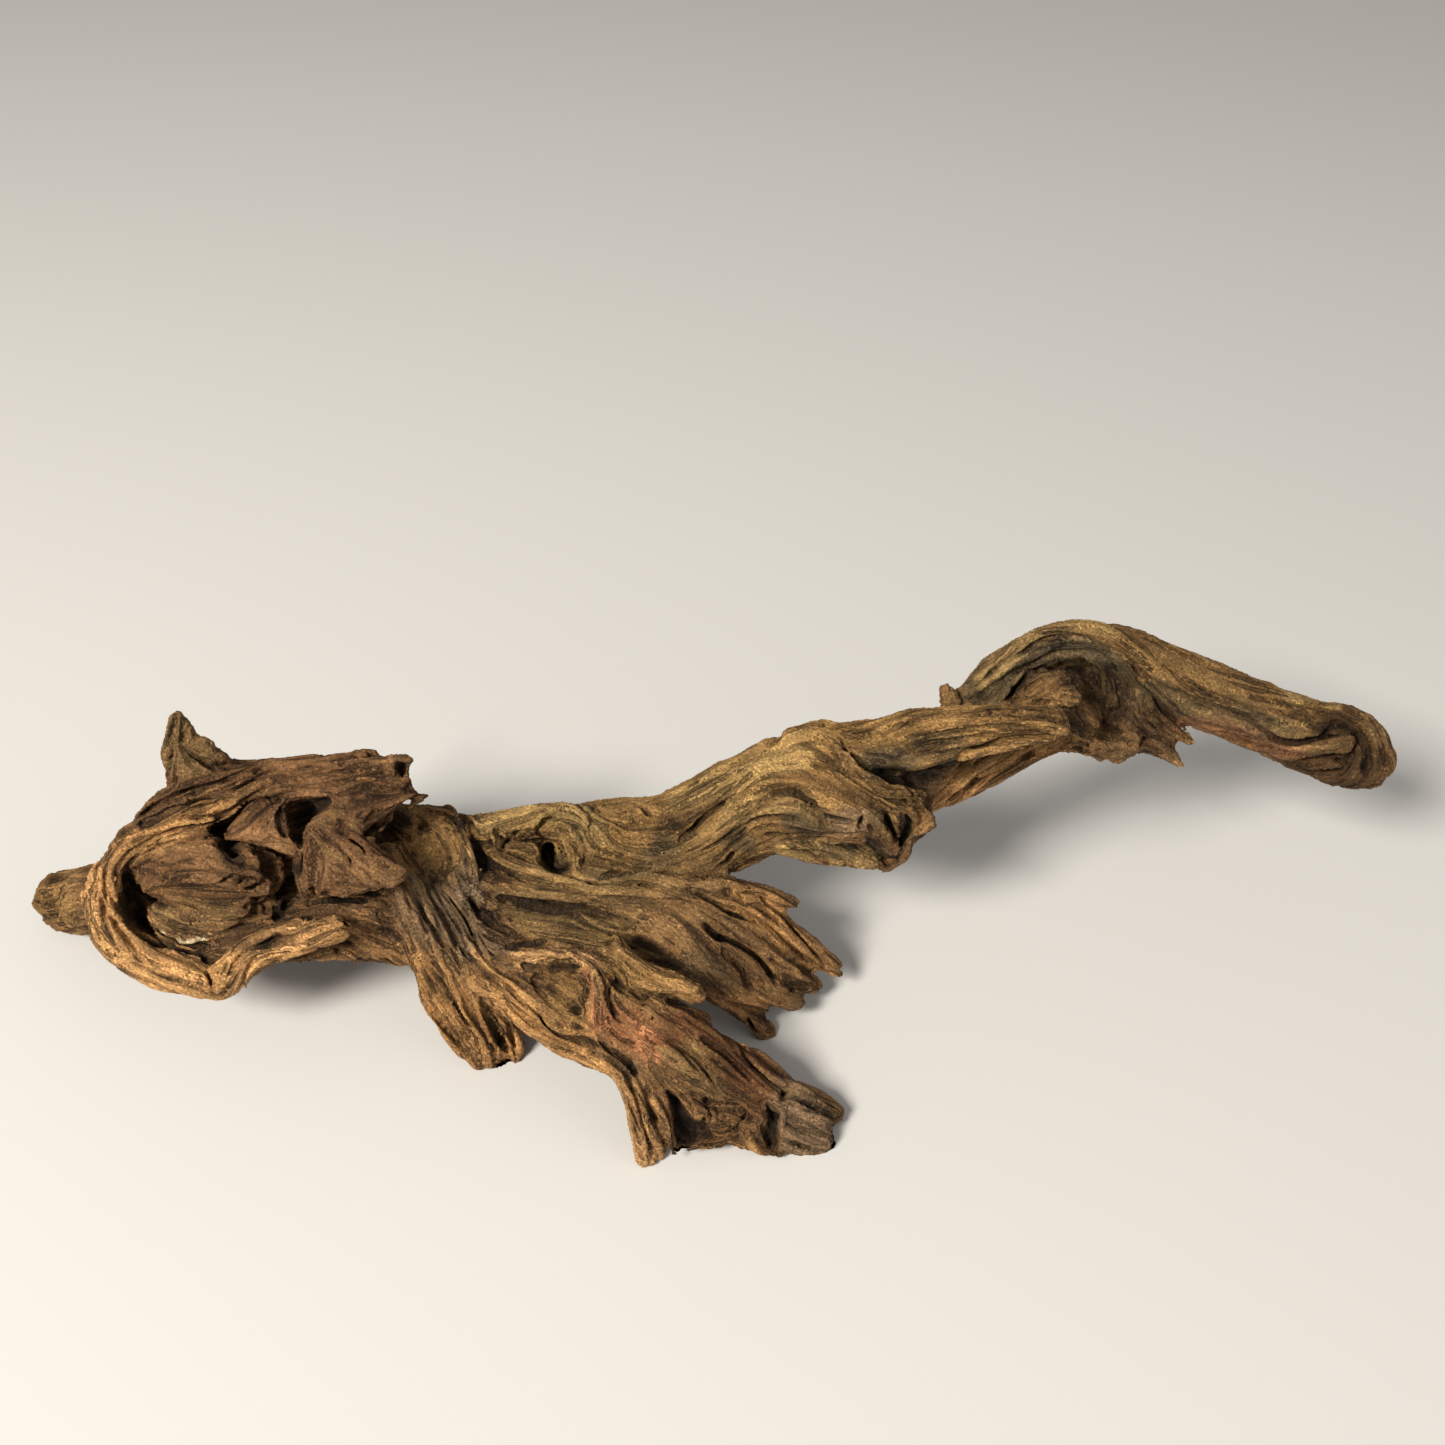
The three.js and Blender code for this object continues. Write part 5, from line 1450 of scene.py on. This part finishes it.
# Colour, radius in millimetres, strength and the line on the sheet that it lies along
ZONES = [
    (RUSSET, 34, 0.75, [(180, 800), (260, 780), (350, 780), (400, 775)]),
    (LOBE, 26, 0.8, [(160, 860), (210, 880), (260, 890), (340, 850), (370, 870)]),
    (OLIVE, 16, 0.7, [(178, 720), (185, 750)]),
    (AMBER, 14, 0.95, [(92, 868), (105, 910), (135, 945), (175, 972), (212, 985)]),
    (AMBER, 12, 0.9, [(225, 985), (250, 958), (290, 948), (340, 932)]),
    (TAN, 9, 0.7, [(125, 850), (160, 822), (205, 805)]),
    (OCHRE, 20, 0.8, [(40, 900), (60, 905)]),
    (BARK, 12, 0.6, [(130, 895), (150, 930), (190, 950)]),
    (OLIVE, 10, 0.5, [(170, 920), (215, 920)]),
    (BONE, 1.6, 1.0, [(163, 933), (172, 939), (185, 942), (204, 939)]),
    (OCHRE, 20, 0.7, [(430, 815), (435, 850)]),
    (SHEEN, 8, 0.75, [(466, 855), (474, 875), (470, 893)]),
    (WEATHERED, 18, 0.7, [(430, 900), (455, 930), (475, 955)]),
    (TAN, 22, 0.8, [(425, 985), (450, 1020), (490, 1060)]),
    (OCHRE, 34, 0.9, [(490, 815), (560, 810), (640, 815), (700, 800), (780, 760), (840, 760), (890, 790)]),
    (OCHRE, 24, 0.8, [(590, 860), (660, 860), (740, 830)]),
    (STRAW, 9, 0.7, [(490, 822), (530, 810), (575, 808), (590, 828)]),
    (STRAW, 10, 0.6, [(680, 800), (740, 775), (800, 755)]),
    (STRAW, 8, 0.5, [(735, 815), (780, 808), (820, 822)]),
    (STRAW, 9, 0.6, [(790, 850), (830, 848), (865, 860)]),
    (OLIVE, 16, 0.5, [(700, 860), (730, 845)]),
    (SLATE, 9, 0.75, [(795, 822), (812, 830)]),
    (SLATE, 7, 0.6, [(735, 835), (745, 842)]),
    (SLATE, 6, 0.6, [(830, 850), (845, 852)]),
    (WEATHERED, 9, 0.7, [(840, 818), (865, 822)]),
    (SLATE, 8, 0.75, [(600, 872), (625, 872)]),
    (SLATE, 8, 0.7, [(665, 845), (650, 870)]),
    (BARK, 10, 0.6, [(880, 835), (905, 845)]),
    (OCHRE, 22, 0.85, [(860, 740), (950, 722), (1050, 718)]),
    (SLATE, 8, 0.85, [(875, 765), (895, 763)]),
    (GREY_BROWN, 6, 0.7, [(920, 745), (955, 740)]),
    # painted light: lightens the branch under the plank, which the plank shades
    (TAN, 12, 0.75, [(948, 802), (966, 786), (990, 769), (1030, 752), (1060, 748)]),
    (OCHRE, 12, 0.9, [
        (960, 688), (1000, 662), (1035, 638), (1065, 626), (1100, 632), (1135, 648), (1170, 668),
    ]),
    (OCHRE, 18, 0.85, [(1170, 665), (1240, 690), (1320, 712)]),
    (GREY_BROWN, 13, 0.92, [(985, 690), (1015, 668), (1045, 652), (1080, 655), (1105, 672), (1130, 700)]),
    (SLATE, 7, 0.7, [(1000, 676), (1035, 652), (1065, 642), (1092, 647), (1112, 660), (1135, 685)]),
    (STRAW, 6, 0.5, [(985, 672), (1015, 648), (1045, 631), (1080, 624), (1110, 632)]),
    (BARK, 16, 0.8, [(1100, 700), (1130, 720), (1100, 735), (1150, 735)]),
    (OCHRE, 12, 0.75, [(1040, 690), (1070, 690)]),
    (GREY_BROWN, 8, 0.8, [(1150, 690), (1190, 708), (1240, 718), (1280, 735)]),
    (REDDISH, 8, 0.45, [(1190, 722), (1235, 735), (1290, 755)]),
    # painted shade on the fist's end face
    (FIST_END_SHADE, 21, 0.9, [(1345, 735), (1368, 745), (1378, 765), (1350, 768), (1320, 772)]),
    (OLIVE, 4, 0.6, [(1366, 718), (1384, 742)]),
    (STRAW, 4, 0.3, [(1280, 728), (1300, 731)]),
    # painted highlight along the straight part's upper edge
    (STRAW, 5, 0.8, [(1290, 697), (1335, 702)]),
    (OLIVE, 26, 0.6, [(540, 895), (620, 905), (690, 910)]),
    (UMBER, 30, 0.6, [(700, 940), (760, 940)]),
    (TAN, 9, 0.85, [(760, 915), (800, 955), (825, 968)]),
    (TAN, 8, 0.7, [(735, 900), (775, 905)]),
    (TAN, 7, 0.6, [(740, 1003), (765, 1010)]),
    (SLATE, 9, 0.5, [(700, 965), (720, 975)]),
    (OLIVE, 14, 0.6, [(540, 920), (600, 935)]),
    (TAN, 12, 0.8, [(480, 980), (520, 1010), (560, 1040), (605, 1060)]),
    (APRICOT, 6, 1.0, [(520, 960), (550, 955), (590, 962)]),
    (OCHRE, 13, 0.8, [(560, 985), (565, 1005)]),
    (OCHRE, 12, 0.8, [(615, 950), (630, 975), (690, 990)]),
    (PINK, 5, 0.6, [(590, 975), (594, 1005), (600, 1020)]),
    (PINK, 8, 0.85, [(606, 1024), (632, 1028), (650, 1040)]),
    (PINK, 7, 0.6, [(640, 1046), (662, 1052), (670, 1058)]),
    (APRICOT, 9, 0.8, [(625, 1090), (642, 1130), (655, 1155)]),
    (SLATE, 5, 0.5, [(603, 1045), (632, 1070)]),
    (RUST, 17, 0.8, [(695, 1035), (720, 1055), (750, 1080), (775, 1095)]),
    (OLIVE, 9, 0.7, [(680, 1065), (710, 1090)]),
    (GREYISH, 16, 0.8, [(800, 1110), (815, 1135)]),
    (TAN, 7, 0.6, [(700, 1147), (760, 1152)]),
    # Painted shade: near black in the pits, clefts and gaps below, where shade falls
    (SHADE_BLACK, 6, 0.9, [(124, 878), (128, 900), (140, 918)]),
    (SHADE_BLACK, 4, 0.9, [(150, 900), (156, 908)]),
    (SHADE_BLACK, 5, 0.85, [(225, 845), (233, 862)]),
    (SHADE_BLACK, 4, 0.9, [(296, 870), (288, 895), (278, 912)]),
    (SHADE_BLACK, 7, 0.9, [(320, 804), (308, 822)]),
    (SHADE_BLACK, 5, 0.9, [(388, 828), (400, 820)]),
    (SHADE_BLACK, 4, 0.9, [(401, 761), (400, 771)]),
    (SHADE_BLACK, 7, 0.95, [(550, 868), (562, 869)]),
    (SHADE_BLACK, 4, 0.85, [(474, 842), (488, 844)]),
    (SHADE_BLACK, 4, 0.9, [(906, 818), (907, 832), (902, 842)]),
    (SHADE_BLACK, 4, 0.85, [(870, 842), (880, 853), (892, 857)]),
    (SHADE_BLACK, 10, 0.9, [(882, 772), (900, 777), (920, 777), (940, 768), (954, 759)]),
    (SHADE_BLACK, 10, 0.9, [(1078, 688), (1086, 702), (1084, 718), (1076, 728)]),
    (SHADE_BLACK, 4, 0.8, [(638, 943), (655, 953), (676, 968)]),
    (SHADE_BLACK, 3, 0.85, [(514, 947), (540, 943)]),
    (SHADE_BLACK, 3, 0.85, [(552, 967), (562, 965), (574, 967)]),
    (SHADE_BLACK, 7, 0.92, [(672, 1100), (678, 1118), (682, 1135)]),
    (SHADE_BLACK, 6, 0.85, [(688, 1124), (702, 1130)]),
    (SHADE_BLACK, 5, 0.9, [(770, 1106), (774, 1124), (772, 1140)]),
]


def mix(a, b, share):
    """Colours between a and b, at each point's share of the way."""
    return a + (b - a) * share[:, None]


def step(values, low, high):
    """0 below low, 1 above high, smooth between."""
    t = np.clip((values - low) / (high - low), 0, 1)
    return t * t * (3 - 2 * t)


def tinted(base, tint, measure):
    """Colours with a tint mixed in where the measure calls for it."""
    colour, share, low, high = tint
    return mix(base, colour, share * step(measure, low, high))


def reach_of(points, line):
    """Each point's distance from a line of samples."""
    best = np.full(len(points), np.inf, np.float32)
    for sample in line:
        best = np.minimum(best, ((points - sample.astype(np.float32)) ** 2).sum(1))
    return np.sqrt(best)


def colour_of(carver, points, hollow, ribs):
    """The wood's colour at points, linear: the zones, some of them painted shade or light, then the tints of
    ridges and of furrows with dust and painted shade, painted shade in hollows and a painted highlight on
    crests.
    """
    base = np.tile(UMBER, (len(points), 1))
    points = points.astype(np.float32)
    for colour, radius, strength, line in ZONES:
        radius = radius * MM
        samples, _, _ = carver.trace(line, ZONE_STEP * radius + MM, grain=False)
        low = samples.min(axis=0) - ZONE_REACH * radius
        high = samples.max(axis=0) + ZONE_REACH * radius
        near = np.nonzero(np.all((points > low) & (points < high), axis=1))[0]
        gap = reach_of(points[near], samples) / radius
        for fray, rib in zip(ZONE_FRAY, ribs):
            gap = gap - fray * rib[near]
        base[near] = mix(base[near], colour, strength * (1 - step(gap, *ZONE_EDGE)))
    shade = 1 + sum(share * rib for share, rib in zip(SHADES, ribs))
    base *= shade[:, None].clip(*SHADE_LIMITS)
    base = tinted(base, RIDGE_TINT, ribs[1] + 0.5 * ribs[0])
    base = tinted(base, FURROW_TINT, -ribs[1] - 0.5 * ribs[2])
    # painted shade in the hollows, then a painted highlight on the crests
    base = tinted(base, HOLLOW_SHADE_TINT, hollow)
    base = tinted(base, CREST_HIGHLIGHT_TINT, -hollow)
    return (np.array(DEPTH) * base).clip(0, 1)


# The material's patterns, as a noise's scale and detail. The first two run along the fibres.
LINES = (1.2, 5.0)
THREADS = (2.8, 2.0)
PORES = (850.0, 3.0)
PATCHES = (55.0, 3.0)
CRACKED = (38.0, 2.0)  # where there are cracks
CRACKED_FROM = (0.45, 0.6)  # where in that noise they begin and are complete
CRACK = 0.045  # half of a crack's width, in the threads' noise

MOST = (0.3, 0.7)  # what most of a noise lies between
NEARLY_ALL = (0.25, 0.75)

# What the patterns do, from the lower end of their noise to the upper
LINE_TONES = (0.46, 1.48)
PORE_TONES = (0.6, 1.42)
PATCH_TONES = (0.82, 1.16)
CRACK_TONES = (1, 0.42)
LINE_ROUGHNESS = (0.86, 0.58)
LINE_RELIEF = (0, 1)
PORE_RELIEF = (0, 0.5)
CRACK_RELIEF = (0, -0.7)
RELIEF = 1.2 * MM  # what 1 is in the relief
SPECULAR = 0.22
FIBRE = (0.5, 1.2, 0.8)  # the share of each grain in the number that the fibres follow


def wood_material(name):
    """Dry weathered wood. The vertices carry its colour and grain, and the nodes add fibres and pores."""
    material = bpy.data.materials.new(name)
    material.use_nodes = True
    nodes = material.node_tree.nodes
    links = material.node_tree.links
    shader = nodes["Principled BSDF"]

    def attribute(key):
        """A number or the colour that the vertices carry."""
        node = nodes.new("ShaderNodeAttribute")
        node.attribute_name = key
        return node.outputs["Fac" if key != "tint" else "Color"]

    def remap(value, span, result):
        """A value carried from one span to another, and held at its ends."""
        node = nodes.new("ShaderNodeMapRange")
        node.inputs["From Min"].default_value = span[0]
        node.inputs["From Max"].default_value = span[1]
        node.inputs["To Min"].default_value = result[0]
        node.inputs["To Max"].default_value = result[1]
        links.new(value, node.inputs["Value"])
        return node.outputs["Result"]

    def combine(kind, a, b=None):
        """Arithmetic on one or two values. A plain number may stand for the second."""
        node = nodes.new("ShaderNodeMath")
        node.operation = kind
        links.new(a, node.inputs[0])
        if isinstance(b, float):
            node.inputs[1].default_value = b
        elif b is not None:
            links.new(b, node.inputs[1])
        return node.outputs["Value"]

    def noise(pattern, coordinate=None):
        """A pattern's noise, by place or along a number that the vertices carry."""
        node = nodes.new("ShaderNodeTexNoise")
        node.inputs["Scale"].default_value = pattern[0]
        node.inputs["Detail"].default_value = pattern[1]
        if coordinate is None:
            place = nodes.new("ShaderNodeTexCoord")
            links.new(place.outputs["Object"], node.inputs["Vector"])
        else:
            node.noise_dimensions = "1D"
            links.new(coordinate, node.inputs["W"])
        return node.outputs["Fac"]

    fibre = attribute("fibre")
    lines = noise(LINES, fibre)
    threads = noise(THREADS, fibre)
    pores = noise(PORES)
    patches = noise(PATCHES)
    gap = combine("ABSOLUTE", combine("SUBTRACT", threads, 0.5))
    crack = remap(gap, (0, CRACK), (1, 0))
    crack = combine("MULTIPLY", crack, remap(noise(CRACKED), CRACKED_FROM, (0, 1)))

    tone = combine("MULTIPLY", remap(lines, MOST, LINE_TONES), remap(pores, MOST, PORE_TONES))
    tone = combine("MULTIPLY", tone, remap(patches, MOST, PATCH_TONES))
    tone = combine("MULTIPLY", tone, remap(crack, (0, 1), CRACK_TONES))
    product = nodes.new("ShaderNodeVectorMath")
    product.operation = "SCALE"
    links.new(attribute("tint"), product.inputs[0])
    links.new(tone, product.inputs["Scale"])
    links.new(product.outputs["Vector"], shader.inputs["Base Color"])
    links.new(remap(lines, MOST, LINE_ROUGHNESS), shader.inputs["Roughness"])
    shader.inputs["Specular IOR Level"].default_value = SPECULAR

    relief = combine("ADD", remap(lines, NEARLY_ALL, LINE_RELIEF), remap(pores, NEARLY_ALL, PORE_RELIEF))
    relief = combine("ADD", relief, remap(crack, (0, 1), CRACK_RELIEF))
    bump = nodes.new("ShaderNodeBump")
    bump.inputs["Strength"].default_value = 1.0
    bump.inputs["Distance"].default_value = RELIEF
    links.new(relief, bump.inputs["Height"])
    links.new(bump.outputs["Normal"], shader.inputs["Normal"])
    return material


# The wood, from the solids to the finished pieces


def main_piece(quads, count):
    """Which quads belong to the largest connected piece."""
    label = np.arange(count)
    while True:
        least = label[quads].min(axis=1)
        new = label.copy()
        for i in range(4):
            np.minimum.at(new, quads[:, i], least)
        new = new[new]
        if np.array_equal(new, label):
            break
        label = new
    roots = label[quads[:, 0]]
    return roots == np.bincount(roots).argmax()


def grain_heights(flow, points, ribs):
    """How far each size of the grain raises the surface at points. The broadest fades beside strokes."""
    heights = []
    for size, rib in zip(GRAIN_HEIGHTS, ribs):
        heights.append(size * np.where(rib > 0, RIDGE * rib, -FURROW * np.abs(rib) ** FURROW_POWER))
    heights[0] *= step(flow.gaps[cell_of(points, FLOW_CELL, flow.low, flow.shape)], *DRAWN)
    return heights


def hollows(field, points):
    """How much wood lies round each point: above 0 in a hollow, and below it on a crest."""
    thinned = field.values[::THIN, ::THIN, ::THIN]
    return -field.sample(blur(thinned, HOLLOW / THIN), points, THIN) / (HOLLOW * VOXEL)


def face_outward(points, quads, guide):
    """The surface's own normals at its points, and its quads, both turned to agree with the guide."""
    corners = points[quads]
    faces = np.cross(corners[:, 2] - corners[:, 0], corners[:, 3] - corners[:, 1])
    normals = np.zeros_like(points)
    for i in range(4):
        for axis in range(3):
            normals[:, axis] += np.bincount(quads[:, i], faces[:, axis], len(points))
    if (normals * guide).sum() < 0:
        normals = -normals
        quads = quads[:, ::-1]
    normals /= np.maximum(np.linalg.norm(normals, axis=1), 1e-12)[:, None]
    return normals, quads


def make_pieces(points, normals, quads, colours, floats):
    """The part of the surface that lies nearest to each solid, as the piece that stands for its node."""
    labels = labels_of(points[quads].mean(axis=1))
    middles = points[quads][:, :, 0].mean(axis=1)
    slots = {row["node"]: row["material_slot"] for row in frame["record"]["subparts"]}
    materials = {slot: wood_material(slot) for slot in sorted(set(slots.values()))}
    for index, name in enumerate(sorted(frame["nodes"])):
        own = labels == index
        parts = {name: own}
        if name == "burl":
            left = middles < HEAD_PARTED
            parts = {"burl_left": own & left, "burl_right": own & ~left}
        for part, chosen in parts.items():
            material = materials[slots[name]]
            piece = make_piece(f"{part}_wood", points, normals, quads[chosen], colours, floats, material)
            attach(piece, "root")
            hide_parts(name)


def build_wood():
    """Draws the strokes, meshes the field, raises the grain and colours the result."""
    field = body_field()
    carver = Carver(field)
    draw_strokes(carver)
    points, quads = field.surface()
    quads = quads.astype(np.int64)
    quads = quads[main_piece(quads, len(points))]
    normals = field_normals(field, points)
    flow = flow_field(field, carver.lines)
    ribs = grain(flow, points)
    heights = grain_heights(flow, points, ribs)
    hollow = hollows(field, points) - HOLLOW_GRAIN * (heights[1] + heights[2]) / MM
    points = points + normals * sum(heights)[:, None]
    points[:, 2] = np.maximum(points[:, 2], 0)
    carver.refresh()
    finer = ribs[1:]
    colours = colour_of(carver, points, hollow, finer)
    floats = {"fibre": sum(share * rib for share, rib in zip(FIBRE, finer))}
    normals, quads = face_outward(points, quads, normals)
    make_pieces(points, normals, quads, colours, floats)


# Floor, light and camera


FLOOR_SIZE = 80  # m, so that no side of it is seen
FLOOR_COLOUR = (0.56, 0.55, 0.53, 1)
FLOOR_ROUGHNESS = 0.9
LIT = (0.0, 0.0, 0.06)  # what the lamps point at
LAMPS = {  # place, size in metres, power in watts and colour
    "key": ((-1.5, -1.6, 2.2), 0.8, 150, (1.0, 0.95, 0.87)),
    "fill": ((1.6, -0.9, 1.3), 1.4, 7, (1.0, 0.97, 0.94)),
}
SURROUND = (1.0, 0.98, 0.95, 1)
SURROUND_STRENGTH = 0.34


def stage():
    """A plain pale floor."""
    bpy.ops.mesh.primitive_plane_add(size=FLOOR_SIZE, location=(0, 0, 0))
    floor = bpy.context.object
    floor.name = "floor"
    material = bpy.data.materials.new("floor")
    material.use_nodes = True
    shader = material.node_tree.nodes["Principled BSDF"]
    shader.inputs["Base Color"].default_value = FLOOR_COLOUR
    shader.inputs["Roughness"].default_value = FLOOR_ROUGHNESS
    floor.data.materials.append(material)


def light(name, place, size, power, colour):
    """A square lamp that points at the wood."""
    data = bpy.data.lights.new(name, "AREA")
    data.size = size
    data.energy = power
    data.color = colour
    lamp = bpy.data.objects.new(name, data)
    bpy.context.scene.collection.objects.link(lamp)
    lamp.location = place
    lamp.rotation_euler = (Vector(LIT) - Vector(place)).to_track_quat("-Z", "Y").to_euler()


def lights():
    """The lamps, and a plain surround that lights the shadows."""
    for name, lamp in LAMPS.items():
        light(name, *lamp)
    world = bpy.data.worlds.new("world")
    bpy.context.scene.world = world
    world.use_nodes = True
    background = world.node_tree.nodes["Background"]
    background.inputs["Color"].default_value = SURROUND
    background.inputs["Strength"].default_value = SURROUND_STRENGTH


def camera():
    """The camera at the photograph's place. Its lens is an assumption."""
    data = bpy.data.cameras.new("camera")
    data.sensor_width = SENSOR
    data.lens = LENS
    eye = bpy.data.objects.new("camera", data)
    bpy.context.scene.collection.objects.link(eye)
    eye.location = EYE
    eye.rotation_euler = (math.pi / 2 - EYE_PITCH, 0, 0)
    bpy.context.scene.camera = eye


def flat(corners):
    """A box's corners as plain numbers."""
    return [[round(v, 6) for v in corner] for corner in corners]


build_wood()
stage()
lights()
camera()
bpy.context.scene.view_settings.view_transform = "Standard"
